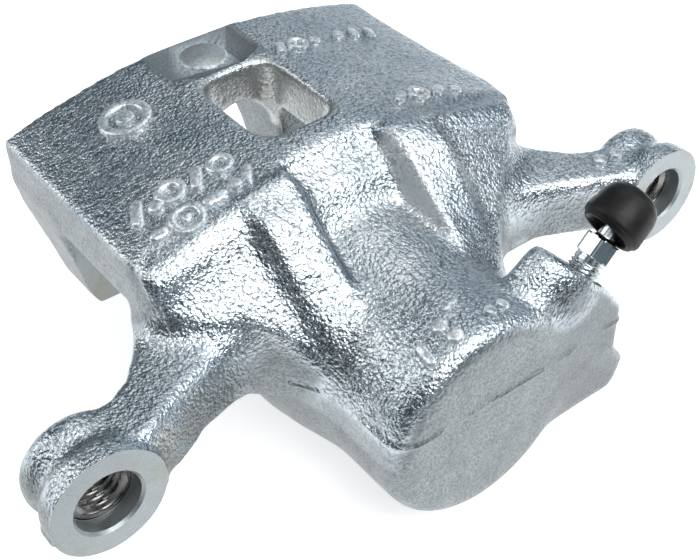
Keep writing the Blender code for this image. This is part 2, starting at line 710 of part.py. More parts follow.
def hose_port_plug(material):
    """The push-in plug that keeps dirt out of the hose port until a hose is fitted."""
    head = PORT_FACE - 0.4
    profile = ((head - 4.2, 0.0), (head - 4.2, 2.6), (head - 3.8, 3.0), (head - 1.4, 3.0),
               (head - 1.4, 5.2), (head - 1.0, 5.6), (head - 0.4, 5.6), (head, 5.2),
               (head, PORT_RADIUS - 0.4), (head + 2.2, PORT_RADIUS - 0.35),
               (head + 2.6, PORT_RADIUS - 0.7), (head + 4.6, PORT_RADIUS - 0.7),
               (head + 7.0, PORT_RADIUS - 1.6), (head + 7.0, PORT_RADIUS - 2.4),
               (head - 1.2, PORT_RADIUS - 2.0), (head - 1.2, 0.0))
    obj = turned("hose_port_plug", profile, (PORT_X, PORT_Y, 0), (0, 0, 1), SMALL_ROUND)
    place_on_axis(obj, (PORT_X, PORT_Y, PORT_FACE))
    finish(obj, material)
    return obj


def build():
    clear_scene()
    zinc = make_material("zinc_plated_iron", (0.60, 0.64, 0.67), 0.42, 0.85)
    bright_steel = make_material("bright_steel", (0.78, 0.79, 0.80), 0.22, 1.0)
    chrome = make_material("chromed_steel", (0.72, 0.73, 0.74), 0.12, 1.0)
    wire = make_material("spring_steel", (0.42, 0.42, 0.43), 0.35, 1.0)
    rubber = make_material("black_rubber", (0.025, 0.024, 0.024), 0.62, 0.0)
    seal_rubber = make_material("seal_rubber", (0.04, 0.04, 0.045), 0.50, 0.0)
    boot_rubber = make_material("boot_rubber", (0.03, 0.03, 0.03), 0.70, 0.0)
    plastic = make_material("red_plastic", (0.55, 0.05, 0.04), 0.40, 0.0)
    caliper_housing(zinc)
    piston(chrome)
    piston_seal(seal_rubber)
    dust_boot(boot_rubber)
    boot_retaining_ring(wire)
    bleeder_screw(bright_steel)
    bleeder_cap(rubber)
    hose_port_plug(plastic)


build()
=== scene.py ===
"""Looks of a floating brake caliper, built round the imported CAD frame."""
import math

import bmesh
import bpy
import numpy as np
from mathutils import Matrix, Vector, noise
from mathutils.bvhtree import BVHTree


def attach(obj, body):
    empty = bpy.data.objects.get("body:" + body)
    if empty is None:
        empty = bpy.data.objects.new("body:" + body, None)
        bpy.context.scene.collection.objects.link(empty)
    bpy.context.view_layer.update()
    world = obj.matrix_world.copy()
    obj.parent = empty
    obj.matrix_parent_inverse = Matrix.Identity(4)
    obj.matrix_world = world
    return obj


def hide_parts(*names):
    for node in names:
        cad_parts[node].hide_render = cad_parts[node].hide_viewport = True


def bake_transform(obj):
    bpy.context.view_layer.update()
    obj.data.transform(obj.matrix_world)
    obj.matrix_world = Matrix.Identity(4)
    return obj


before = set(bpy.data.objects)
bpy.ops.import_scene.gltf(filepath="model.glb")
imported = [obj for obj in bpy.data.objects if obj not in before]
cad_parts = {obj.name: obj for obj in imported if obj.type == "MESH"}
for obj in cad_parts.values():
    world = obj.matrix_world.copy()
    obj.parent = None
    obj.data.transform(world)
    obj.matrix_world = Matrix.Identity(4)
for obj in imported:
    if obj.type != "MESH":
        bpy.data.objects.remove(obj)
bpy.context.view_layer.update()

# Lengths are in millimetres: X from ear to ear, Y along the piston from the ear faces, Z up.
MM = 0.001
Y_AXIS, Z_AXIS = (0, 1, 0), (0, 0, 1)
END_FACE = -23.3                # closed end of the cylinder
EAR_X = 78.0                    # guide-pin holes
PIN_HEIGHT = 9.4
EAR_SEAT_R = 7.35
EAR_SEAT_DEPTH = 4.2
EAR_HOLE_R = 6.9
EAR_THREAD_R = 5.35
PARTING = 6.8                   # height of the casting's parting line
BRIDGE_R = 157.6                # outer and inner radius of the bridge, about the wheel's axle
BRIDGE_INNER_R = 145.6
AXLE_DROP = 114.8
FINGER_FACE = 66.0
MOUTH_FACE = 27.0
BORE_R = 21.8
PISTON_R = 21.45
BOOT_GROOVE_R = 20.2
LEAN = math.sqrt(0.5)           # the bleeder leans by 45 degrees
BLEED_Y = -17.0
BLEED_OFFSET = 7.3              # its axis passes the piston's axis at this distance
BLEED_FACE = 37.0               # face of the boss, along the bleeder's axis
BLEED_DIR = Vector((LEAN, 0.0, LEAN))
SHANK_R = 3.9
HEX_FROM = BLEED_FACE + 3.8
HEX_HEIGHT = 4.8
NIPPLE = 9.0
CAP_LEAN = math.radians(15.0)
PORT = (34.0, -15.4, -15.4)     # middle of the hose port's face
VOXEL = 0.8
TURNED_STEPS = 96
FINE_STEPS = 128


# ---- mesh helpers

def placed(point):
    """A point in millimetres, moved to the frame of the CAD and to metres."""
    return Vector((point[0], point[1] - END_FACE, point[2])) * MM


def linked(name, data):
    obj = bpy.data.objects.new(name, data)
    bpy.context.scene.collection.objects.link(obj)
    return obj


def mesh_object(name, bm):
    mesh = bpy.data.meshes.new(name)
    bm.to_mesh(mesh)
    bm.free()
    return linked(name, mesh)


def loft(name, rings):
    """A closed block through rings with the same number of points."""
    bm = bmesh.new()
    rows = [[bm.verts.new(placed(p)) for p in ring] for ring in rings]
    count = len(rings[0])
    for low, high in zip(rows, rows[1:]):
        for i in range(count):
            j = (i + 1) % count
            bm.faces.new((low[i], low[j], high[j], high[i]))
    bm.faces.new(rows[0])
    bm.faces.new(rows[-1])
    bmesh.ops.recalc_face_normals(bm, faces=bm.faces)
    return mesh_object(name, bm)


def prism_y(name, outline, y_from, y_to):
    """An (x, z) outline drawn out along Y."""
    return loft(name, [[(x, y, z) for x, z in outline] for y in (y_from, y_to)])


def prism_z(name, outline, levels):
    """An (x, y) outline at (height, scale) levels."""
    cx = sum(x for x, y in outline) / len(outline)
    cy = sum(y for x, y in outline) / len(outline)
    return loft(name, [[(cx + (x - cx) * s, cy + (y - cy) * s, z) for x, y in outline]
                       for z, s in levels])


def axis_frame(origin, direction):
    """The matrix that takes Z to the direction, at the origin."""
    turn = Vector(direction).normalized().to_track_quat("Z", "Y").to_matrix().to_4x4()
    return Matrix.Translation(placed(origin)) @ turn


def grid_surface(name, rows, closed_rows=False, caps=False):
    """Faces over rows of points that close round each row; the ends can be capped."""
    bm = bmesh.new()
    verts = [[bm.verts.new(p) for p in row] for row in rows]
    pairs = list(zip(verts, verts[1:]))
    if closed_rows:
        pairs.append((verts[-1], verts[0]))
    for first, second in pairs:
        count = max(len(first), len(second))
        for i in range(count):
            j = (i + 1) % count
            corners = [first[i % len(first)], first[j % len(first)],
                       second[j % len(second)], second[i % len(second)]]
            bm.faces.new(list(dict.fromkeys(corners)))
    if caps:
        bm.faces.new(verts[0])
        bm.faces.new(verts[-1])
    bmesh.ops.recalc_face_normals(bm, faces=bm.faces)
    return mesh_object(name, bm)


def axis_row(place, along):
    """The single point that closes a turned shape on its axis."""
    return [place @ Vector((0, 0, along * MM))]


def ring_row(place, along, radius_at, segments):
    """Points round an axis; radius_at(angle) is a number in millimetres."""
    row = []
    for step in range(segments):
        angle = 2.0 * math.pi * step / segments
        r = radius_at(angle)
        row.append(place @ Vector((r * math.cos(angle) * MM, r * math.sin(angle) * MM,
                                   along * MM)))
    return row


def turned(name, profile, origin, direction, segments=TURNED_STEPS, closed=False, wobble=None):
    """Turn (along, radius) points about an axis; wobble(angle, along) adds to the radius."""
    place = axis_frame(origin, direction)
    rows = []
    for along, radius in profile:
        if radius == 0.0:
            rows.append(axis_row(place, along))
        else:
            rows.append(ring_row(
                place, along,
                lambda a: radius + (wobble(a, along) if wobble else 0.0), segments))
    return grid_surface(name, rows, closed_rows=closed)


def rounded(profile, radius, steps=4):
    """The open profile with its inner corners rounded."""
    out = [profile[0]]
    for before, corner, after in zip(profile, profile[1:], profile[2:]):
        b = Vector(before) - Vector(corner)
        a = Vector(after) - Vector(corner)
        cut = min(radius, 0.45 * b.length, 0.45 * a.length)
        if cut < 1e-4 or corner[1] == 0.0:
            out.append(corner)
            continue
        start = Vector(corner) + b.normalized() * cut
        end = Vector(corner) + a.normalized() * cut
        for step in range(steps + 1):
            t = step / steps
            p = start * (1 - t) ** 2 + Vector(corner) * 2 * t * (1 - t) + end * t ** 2
            out.append((p.x, p.y))
    out.append(profile[-1])
    return out


def bake(obj):
    """Replace the mesh with the result of its modifiers."""
    graph = bpy.context.evaluated_depsgraph_get()
    mesh = bpy.data.meshes.new_from_object(obj.evaluated_get(graph))
    obj.modifiers.clear()
    obj.data = mesh


def combine(target, tool, operation):
    """Boolean that keeps the tool's material on the faces it makes, and uses the tool up."""
    boolean = target.modifiers.new("combine", "BOOLEAN")
    boolean.operation = operation
    boolean.solver = "MANIFOLD"
    boolean.material_mode = "TRANSFER"
    boolean.object = tool
    bake(target)
    bpy.data.objects.remove(tool, do_unlink=True)


def joined(name, objects):
    """One mesh from several, which may overlap."""
    bm = bmesh.new()
    for obj in objects:
        bm.from_mesh(obj.data)
        bpy.data.objects.remove(obj, do_unlink=True)
    return mesh_object(name, bm)


def mirrored(points):
    return [(-x, *rest) for x, *rest in points]


def shade(obj, angle=30.0):
    obj.data.shade_smooth()
    obj.data.set_sharp_from_angle(angle=math.radians(angle))


# ---- the casting's blocks

def bridge_height(x, radius=BRIDGE_R):
    """Height of the arched bridge over x."""
    return math.sqrt(radius ** 2 - x ** 2) - AXLE_DROP


def bridge_plate():
    steps = 48
    half = 51.8
    xs = [half * (2.0 * i / steps - 1.0) for i in range(steps + 1)]
    outline = [(x, bridge_height(x) + 0.25) for x in xs]
    outline += [(x * 0.99, bridge_height(x * 0.99, BRIDGE_INNER_R)) for x in reversed(xs)]
    return prism_y("bridge_plate", outline, 32.5, 88.9)


# Half sections (x, z) of the ribbed shoulder, from its middle out, at a row of y.
SHOULDER = (
    (34.0, ((0, 42.2), (10.6, 41.9), (13.6, 41.8), (14.6, 41.8), (25.4, 40.4),
            (27.0, 39.9), (50.4, 34.2), (51.4, 32.6))),
    (28.0, ((0, 37.8), (10.8, 37.2), (13.3, 42.6), (14.2, 43.2), (25.2, 41.6),
            (26.4, 40.9), (50.4, 34.2), (51.5, 32.0))),
    (21.0, ((0, 31.2), (10.8, 30.0), (13.4, 38.0), (14.4, 38.8), (24.9, 38.7),
            (27.4, 33.5), (44.8, 27.4), (46.3, 20.0))),
    (14.0, ((0, 25.6), (11.0, 24.4), (13.5, 31.6), (14.4, 32.5), (24.2, 31.6),
            (27.0, 27.1), (36.6, 24.2), (38.2, 18.0))),
    (6.0, ((0, 21.0), (11.0, 20.0), (13.5, 25.6), (14.5, 26.4), (23.4, 23.0),
           (25.6, 19.3), (28.2, 18.2), (29.4, 15.0))),
    (-3.0, ((0, 18.0), (10.0, 16.0), (12.6, 18.6), (14.6, 20.6), (22.6, 14.6),
            (24.4, 10.6), (24.8, 9.6), (25.0, 6.0))),
)


def section_ring(y, half, floor):
    """The mirrored half section at y, closed along floor(x)."""
    top = mirrored(reversed(half)) + list(half[1:])
    under = [(x, floor(x)) for x, z in reversed(top)]
    return [(x, y, z) for x, z in top + under]


def shoulder():
    """The ribs, facets and valley between the bridge and the cylinder."""
    edge = SHOULDER[1][1]
    sunk = tuple((0.97 * x, 0.93 * z) for x, z in edge)
    over_disc = loft("over_disc", [
        section_ring(y, half, lambda x: bridge_height(x, BRIDGE_INNER_R) + 0.2)
        for y, half in (SHOULDER[0], SHOULDER[1], (24.0, sunk))])
    lowered = tuple((x, z - 0.1) for x, z in edge)
    behind_disc = loft("behind_disc", [
        section_ring(y, half, lambda x: 2.0) for y, half in ((27.5, lowered),) + SHOULDER[2:]])
    return [over_disc, behind_disc]


def left_facet():
    """The left outer facet reaches farther out over its arm than the right one."""
    rings = []
    for y, inner, outer in ((28.0, (-44.0, 36.0), (-51.7, 33.8)),
                            (21.0, (-38.0, 29.8), (-48.8, 26.1)),
                            (15.0, (-33.0, 26.1), (-41.0, 23.8))):
        rings.append([(inner[0], y, inner[1]), (outer[0], y, outer[1]),
                      (outer[0] - 0.8, y, 19.0), (inner[0], y, 19.0)])
    return loft("left_facet", rings)


def right_flank():
    """The bulge of the bridge's right end."""
    foot = bridge_height(50.0, BRIDGE_INNER_R) + 1.0
    rings = []
    for y, reach, top in ((24.5, 50.6, 31.0), (31.0, 53.6, 34.2), (36.0, 54.6, 33.8),
                          (46.0, 55.2, 33.4), (54.0, 54.0, 33.6), (62.0, 51.4, 34.0)):
        rings.append([(46.0, y, foot), (reach - 2.0, y, foot), (reach, y, top - 3.0),
                      (reach - 1.0, y, top), (46.0, y, top)])
    return loft("right_flank", rings)


def finger_wall():
    """The wall beyond the disc, which the gap parts into two fingers."""
    rings = []
    y_from = FINGER_FACE - 0.6
    for z, half_x, y_to in ((33.0, 50.8, 88.0), (25.0, 52.0, 88.6), (18.5, 51.2, 86.4),
                            (7.0, 48.2, 82.0), (0.0, 46.6, 79.8), (-3.8, 44.6, 77.0)):
        rings.append([(-half_x, y_from, z), (half_x, y_from, z), (half_x, y_to, z),
                      (-half_x, y_to, z)])
    return loft("finger_wall", rings)


def finger_gap():
    """The round-topped slot between the fingers."""
    half, steps = 10.0, 16
    outline = [(14.5, -12.0), (half, 22.0)]
    for step in range(1, steps):
        angle = math.pi * step / steps
        outline.append((half * math.cos(angle), 23.5 + 9.5 * math.sin(angle)))
    outline += [(-half, 22.0), (-14.5, -12.0)]
    return prism_y("finger_gap", outline, 60.0, 95.0)


def window():
    """The rounded opening through the bridge."""
    points = []
    half_x, y_from, y_to, r, shift, steps = 10.2, 41.0, 69.5, 6.0, 0.4, 8
    for x, y, start in ((half_x - r, y_to - r, 0), (-half_x + r, y_to - r, 90),
                        (-half_x + r, y_from + r, 180), (half_x - r, y_from + r, 270)):
        for step in range(steps + 1):
            angle = math.radians(start + 90.0 * step / steps)
            points.append((x + r * math.cos(angle) - shift, y + r * math.sin(angle)))
    return prism_z("window", points, ((24.0, 0.95), (50.0, 1.03)))


def barrel():
    """The cylinder's outside, wider towards its mouth."""
    profile = ((END_FACE - 0.5, 0.0), (END_FACE - 0.5, 22.6), (END_FACE + 0.5, 24.4),
               (END_FACE + 1.6, 25.5), (END_FACE + 3.2, 26.1), (-1.5, 26.1), (2.5, 26.6),
               (8.0, 27.7), (13.5, 28.9), (22.0, 30.2), (MOUTH_FACE + 0.8, 30.4),
               (MOUTH_FACE + 0.8, 0.0))
    return turned("barrel", profile, (0, 0, 0), Y_AXIS, FINE_STEPS)


def arm(side):
    """One arm, from the cylinder out to its ear, drafted from the parting line."""
    inboard = ((78.0, 1.5), (70.0, -0.2), (65.7, 0.2), (59.7, 3.3), (53.1, 6.7), (47.3, 8.9),
               (42.1, 10.2), (37.4, 10.2), (31.7, 8.4), (26.8, 5.0), (18.0, 0.0))
    outboard = ((18.0, 27.0), (49.5, 27.0), (50.6, 34.0), (52.6, 33.2), (54.8, 29.4),
                (58.0, 24.5), (63.0, 18.6), (68.5, 15.6), (78.0, 15.0))
    rings = []
    for z, draft, reach in ((0.6, 7.4, 27.2), (3.6, 3.8, 27.2), (PARTING, 0.0, 27.4),
                            (13.0, 0.8, 28.0), (17.8, 1.6, 36.0), (20.0, 3.2, 36.0)):
        ring = [(side * x, y + draft, z) for x, y in inboard]
        ring += [(side * x, min(y, reach), z) for x, y in outboard[:4]]
        ring += [(side * x, min(y, reach) - 0.4 * draft, z) for x, y in outboard[4:]]
        rings.append(ring)
    return loft("arm", rings)


def arm_root(side):
    """The web that carries the arm up into the bridge's end."""
    outline = [(side * x, y) for x, y in
               ((44.0, 25.0), (51.6, 25.0), (52.4, 29.5), (51.8, 35.0), (44.0, 35.0))]
    return prism_z("arm_root", outline, ((16.0, 1.04), (21.0, 1.0), (30.0, 0.98)))


def arm_fillet(side):
    """The wedge where the facet's wall meets the arm's top; the left wall stands farther out."""
    rings = []
    extra = 1.0 if side < 0 else 0.0
    for x, y, out, rise in ((52.0, 28.0, 5.0, 3.6), (49.6 + extra, 24.6, 5.0, 3.6),
                            (46.0 + 2.4 * extra, 20.8, 5.0, 3.4),
                            (41.6 + 1.6 * extra, 16.8, 4.2, 2.8), (38.6, 14.0, 2.4, 1.8)):
        foot_x = x + 0.73 * out
        foot_y = y - 0.68 * out
        rings.append([(side * (x - 2.0), y + 2.0, 17.0), (side * foot_x, foot_y, 17.0),
                      (side * foot_x, foot_y, 20.1), (side * x, y, 20.0 + rise),
                      (side * (x - 2.0), y + 2.0, 20.0 + rise)])
    return loft("arm_fillet", rings)


def end_rail(side):
    """The low rail under the bridge's end."""
    outline = [(side * x, z) for x, z in
               ((44.6, 26.0), (46.8, 19.9), (50.0, 19.6), (51.5, 31.0), (47.0, 33.0))]
    return prism_y("end_rail", outline, 30.0, 67.0)


def ear(side):
    """The waisted ear round the guide-pin hole."""
    profile = ((-1.2, 0.0), (-1.2, 12.9), (4.8, 12.9), (6.6, 11.6), (7.8, 10.9), (9.0, 11.2),
               (10.4, 11.9), (13.4, 12.3), (15.2, 11.6), (16.4, 10.2), (16.9, 8.6), (16.9, 0.0))
    return turned("ear", profile, (side * EAR_X, 0, PIN_HEIGHT), Y_AXIS)


def boss_blocks():
    """The bleeder's boss, its upper side rounded over to front and back, and the hose lug."""
    def at(distance, offset):
        return ((distance + offset) * LEAN, (distance - offset) * LEAN)

    def rounding(depth, reach, width):
        return width * (1.0 - math.sqrt(1.0 - max(1.0 - depth / reach, 0.0) ** 2))

    front, back = END_FACE + 0.3, BLEED_Y + 7.4
    rings = []
    for share in (0.0, 0.03, 0.08, 0.16, 0.28, 0.42, 0.60, 0.75, 0.87, 0.95, 1.0):
        y = front + share * (back - front)
        d = rounding(y - front, 10.5, 13.5) + rounding(back - y, 3.0, 3.0)
        outline = [(0.0, 0.0), at(22.0, d - 9.0), at(BLEED_FACE - 1.6, d - 6.6),
                   at(BLEED_FACE, d - 5.4), at(BLEED_FACE, 12.6), (40.2, 11.0), (40.2, -3.0),
                   (20.0, -6.0)]
        rings.append([(x, y, z) for x, z in outline])
    boss = loft("bleeder_boss", rings)
    low = PORT[2] - 0.6
    lug_outline = [(0.0, 0.0), (30.0, 2.0), (40.2, -1.6), (40.6, -3.4), (44.4, -8.0),
                   (42.6, -13.6), (40.8, low), (16.0, low)]
    return [boss, prism_y("hose_lug", lug_outline, END_FACE + 0.6, -8.0)]


def locating_pad():
    """The round pad in the recess at the bridge's far edge."""
    profile = ((30.0, 0.0), (30.0, 5.9), (42.4, 5.9), (42.8, 5.2), (42.8, 0.0))
    return turned("locating_pad", profile, (-1.8, 79.7, 0), Z_AXIS, 48)


def pad_recess():
    """The shallow recess round the pad, open to the far edge."""
    outline = [(10.5, 75.0), (11.5, 95.0), (-14.5, 95.0), (-13.5, 75.0), (-7.0, 71.5),
               (4.0, 71.5)]
    return prism_z("pad_recess", outline, ((42.3, 1.0), (42.6, 1.06), (48.0, 1.16)))


# ---- rounding and relief

class Surface:
    """Vertex arrays of a mesh, in millimetres with Y from the ear faces."""

    def __init__(self, obj):
        self.mesh = obj.data
        count = len(self.mesh.vertices)
        co = np.empty(count * 3)
        self.mesh.vertices.foreach_get("co", co)
        self.co = co.reshape(-1, 3) / MM
        self.co[:, 1] += END_FACE
        edges = np.empty(len(self.mesh.edges) * 2, np.int64)
        self.mesh.edges.foreach_get("vertices", edges)
        self.edges = edges.reshape(-1, 2)
        self.degree = np.bincount(self.edges.ravel(), minlength=count)[:, None]

    def store(self):
        co = self.co.copy()
        co[:, 1] -= END_FACE
        self.mesh.vertices.foreach_set("co", (co * MM).ravel())
        self.mesh.update()

    def normals(self):
        self.store()
        n = np.empty(len(self.co) * 3)
        self.mesh.vertices.foreach_get("normal", n)
        return n.reshape(-1, 3)

    def average(self, values):
        """The mean over each vertex's neighbours."""
        total = np.zeros_like(values)
        np.add.at(total, self.edges[:, 0], values[self.edges[:, 1]])
        np.add.at(total, self.edges[:, 1], values[self.edges[:, 0]])
        return total / self.degree

    def smooth(self, rounds, factor=0.5):
        for _ in range(rounds):
            self.co += factor * (self.average(self.co) - self.co)

    def fill_corners(self, rounds, weight):
        """Add metal in hollow corners only, so blocks meet in a fillet."""
        for step in range(rounds):
            if step % 4 == 0:
                normals = self.normals()
            pull = self.average(self.co) - self.co
            outward = np.maximum((pull * normals).sum(1), 0.0)[:, None]
            self.co += 0.9 * weight * outward * normals


def smoothstep(values, low, high):
    """0 below low, 1 above high."""
    t = np.clip((values - low) / (high - low), 0.0, 1.0)
    return t * t * (3.0 - 2.0 * t)


def fade(values, low, high):
    """1 below low, 0 above high."""
    return smoothstep(-values, -high, -low)


def noise_at(points, scale, octaves=2):
    out = np.empty(len(points))
    for i, (x, y, z) in enumerate(points):
        out[i] = noise.fractal(Vector((x * scale, y * scale, z * scale)), 1.0, 2.0, octaves,
                               noise_basis="PERLIN_ORIGINAL")
    return out


def window_zone(co):
    """1 on the window's walls."""
    dx = np.abs(co[:, 0] + 0.4) - 10.6
    dy = np.abs(co[:, 1] - 55.2) - 14.6
    inside = np.maximum(dx, dy)
    return (1.0 - smoothstep(inside, -0.6, 0.4)) * (co[:, 2] > 24.0)


def grain_mask(co, n):
    """1 where the sand-like cast grain is strong, 0 on smooth draft walls."""
    up = smoothstep(n[:, 2], 0.30, 0.72)
    tilted = smoothstep(-n[:, 1], 0.25, 0.5) * smoothstep(n[:, 2], 0.05, 0.3)
    mask = np.maximum(up, tilted)
    radial = np.hypot(co[:, 0], co[:, 2])
    on_barrel = (1.0 - smoothstep(radial, 27.5, 29.5)) * (co[:, 1] < 14.0) * (co[:, 2] > 0.0)
    mask = np.maximum(mask, on_barrel * smoothstep(-n[:, 1], 0.99, 0.6))
    end = smoothstep(-n[:, 1], 0.75, 0.95) * (co[:, 1] < END_FACE + 2.5)
    mask *= 1.0 - end
    mask *= 1.0 - window_zone(co)
    below = 1.0 - smoothstep(co[:, 2], PARTING - 3.0, PARTING + 1.0)
    mask *= 1.0 - 0.75 * below
    edge = co[:, 2] - 0.9 * (26.0 - co[:, 0])
    boss_front = smoothstep(edge, -1.0, 4.0) * (co[:, 1] < -8.0) * (co[:, 0] > 14.0)
    return np.clip(np.maximum(mask, 0.12 * boss_front), 0.0, 1.0)


def corner_weight(co):
    """How far the fillets grow in each zone of the casting."""
    x = np.abs(co[:, 0])
    weight = np.where((co[:, 1] < 27.5), 0.8, 0.2)[:, None]
    weight[(x > 36.0) & (co[:, 2] < 16.0)] *= 0.5
    weight[(x > 23.0) & (x < 31.0) & (co[:, 1] > 3.0) & (co[:, 2] > 18.0)] *= 0.2
    weight[np.hypot(x - EAR_X, co[:, 2] - PIN_HEIGHT) < 13.5] *= 0.12
    weight[(x < 15.5) & (co[:, 1] > 8.0) & (co[:, 2] > 22.0)] *= 0.15
    return weight


def cast_body():
    """All blocks fused, rounded and given the relief of a sand casting."""
    over_disc = bridge_plate()
    combine(over_disc, finger_wall(), "UNION")
    combine(over_disc, finger_gap(), "DIFFERENCE")
    combine(over_disc, window(), "DIFFERENCE")
    blocks = [over_disc, *shoulder(), left_facet(), right_flank(), barrel(), *boss_blocks()]
    for side in (-1, 1):
        blocks += [arm(side), arm_root(side), arm_fillet(side), end_rail(side), ear(side)]
    body = joined("casting", blocks)
    remesh = body.modifiers.new("round_off", "REMESH")
    remesh.mode = "VOXEL"
    remesh.voxel_size = VOXEL * MM
    bake(body)
    surface = Surface(body)
    surface.smooth(3)
    co = surface.co
    x = np.abs(co[:, 0])
    surface.fill_corners(40, corner_weight(co))
    surface.smooth(2)
    boss = 0.4 * smoothstep(co[:, 0], 13.0, 19.0) * smoothstep(-co[:, 1], 8.0, 12.0)
    boss *= smoothstep(co[:, 2], -2.0, 6.0)
    rim = smoothstep(-co[:, 1], 17.0, 20.0) * 0.4
    brow = fade(x, 9.0, 11.5) * smoothstep(co[:, 2], 30.0, 33.0) * fade(co[:, 1], 36.0, 39.0)
    spread = np.maximum(np.maximum(0.5 * boss, rim), brow)
    surface.smooth(22, 0.6 * spread[:, None])
    normals = surface.normals()
    mask = grain_mask(co, normals)
    relief = 0.035 * noise_at(co, 0.42, 3) + 0.04 * noise_at(co, 0.75, 2)
    swell = 0.22 * noise_at(co, 0.06, 2)
    flash = 0.45 * np.exp(-((co[:, 2] - PARTING) / 0.55) ** 2)
    flash *= (np.abs(normals[:, 2]) < 0.6) * (co[:, 1] < 12.0)
    flash *= smoothstep(noise_at(co, 0.12, 1), -0.35, 0.15)
    shift = relief * (0.25 + 0.75 * mask) + swell * (0.4 + 0.6 * mask) + flash
    surface.co += normals * shift[:, None]
    surface.store()
    return body


# ---- raised foundry marks

# A bar has x, y, length, width and angle; a ring x, y, radius and wall; a pip x, y and radius.
MARKS = (
    ("ring", -28.9, 70.7, 6.0, 4.1), ("pip", -28.9, 70.7, 2.0),
    ("bar", -43.2, 42.2, 7.0, 2.2, 62.0), ("pip", -39.4, 40.6, 1.5),
    ("ring", -34.8, 42.0, 3.4, 1.9), ("bar", -28.6, 41.2, 6.6, 2.2, 60.0),
    ("ring", -22.6, 41.2, 3.0, 1.6), ("bar", -43.0, 33.4, 3.8, 2.0, -8.0),
    ("ring", -36.4, 32.8, 3.9, 2.4), ("pip", -36.4, 32.8, 0.9),
    ("bar", -29.2, 33.0, 5.4, 2.1, -8.0), ("pip", -24.0, 33.2, 1.5),
    ("bar", -20.2, 34.4, 4.6, 1.9, 60.0), ("bar", 14.6, 70.6, 4.4, 1.9, 70.0),
    ("ring", 19.4, 70.4, 2.5, 1.9), ("pip", 24.4, 70.2, 1.2), ("pip", 32.2, 71.0, 1.2),
    ("bar", 36.6, 70.4, 4.4, 1.9, 75.0), ("bar", 41.0, 69.6, 4.4, 1.9, 75.0),
    ("bar", 24.6, 37.2, 4.6, 1.9, 40.0), ("ring", 29.8, 37.0, 2.6, 1.4),
    ("bar", 35.2, 36.4, 4.6, 1.9, 40.0), ("pip", 40.0, 35.6, 1.2),
    ("bar", -13.2, -16.8, 5.4, 1.4, 84.0), ("pip", -7.2, -14.2, 1.5), ("pip", -6.6, -18.2, 1.5),
    ("bar", -2.2, -11.4, 4.2, 1.2, 12.0), ("pip", 3.4, -17.6, 1.2), ("pip", 7.4, -17.0, 1.2),
    ("pip", 65.6, 10.4, 1.5), ("pip", 70.3, 9.6, 1.5),
)


def mark(height_at, kind, cx, cy, size, width=0.0, angle=0.0):
    """A low bar, pip or ring drawn up from the casting's own surface."""
    turn = math.radians(angle)

    def point(u, v, lift):
        x = cx + u * math.cos(turn) - v * math.sin(turn)
        y = cy + u * math.sin(turn) + v * math.cos(turn)
        return placed((x, y, height_at(x, y) + lift))

    def outline(grow, lift):
        if kind == "bar":
            r = 0.5 * width + grow
            u = 0.5 * (size - width)
            half = [(u + r * math.cos(t), r * math.sin(t)) for t in
                    (math.radians(a) for a in range(-90, 91, 30))]
            return [point(a, b, lift) for a, b in half + [(-a, -b) for a, b in half]]
        r = size + grow
        steps = 28 if kind == "ring" else 16
        return [point(r * math.cos(t), r * math.sin(t), lift) for t in
                (2.0 * math.pi * k / steps for k in range(steps))]

    rows = [outline(0.45, -0.5), outline(0.4, 0.1), outline(0.15, 0.75), outline(-0.25, 0.9)]
    if kind != "ring":
        return grid_surface("mark", rows, caps=True)
    inward = size - width
    rows += [outline(0.35 - inward, 0.9), outline(0.1 - inward, 0.75),
             outline(-0.25 - inward, 0.1), outline(-0.3 - inward, -0.5)]
    return grid_surface("mark", rows, closed_rows=True)


def raised_marks(body):
    """All the marks as one tool, each standing on the casting below it."""
    tree = BVHTree.FromPolygons([v.co for v in body.data.vertices],
                                [tuple(p.vertices) for p in body.data.polygons])

    def height_at(x, y):
        hit = tree.ray_cast(placed((x, y, 80.0)), Vector((0.0, 0.0, -1.0)))[0]
        return hit.z / MM

    return joined("marks", [mark(height_at, *values) for values in MARKS])


# ---- machining

def box(name, low, high):
    corners = [(low[0], low[1]), (high[0], low[1]), (high[0], high[1]), (low[0], high[1])]
    return loft(name, [[(x, y, z) for x, y in corners] for z in (low[2], high[2])])


def bleed_point(distance):
    """A point on the bleeder's axis."""
    return ((distance + BLEED_OFFSET) * LEAN, BLEED_Y, (distance - BLEED_OFFSET) * LEAN)


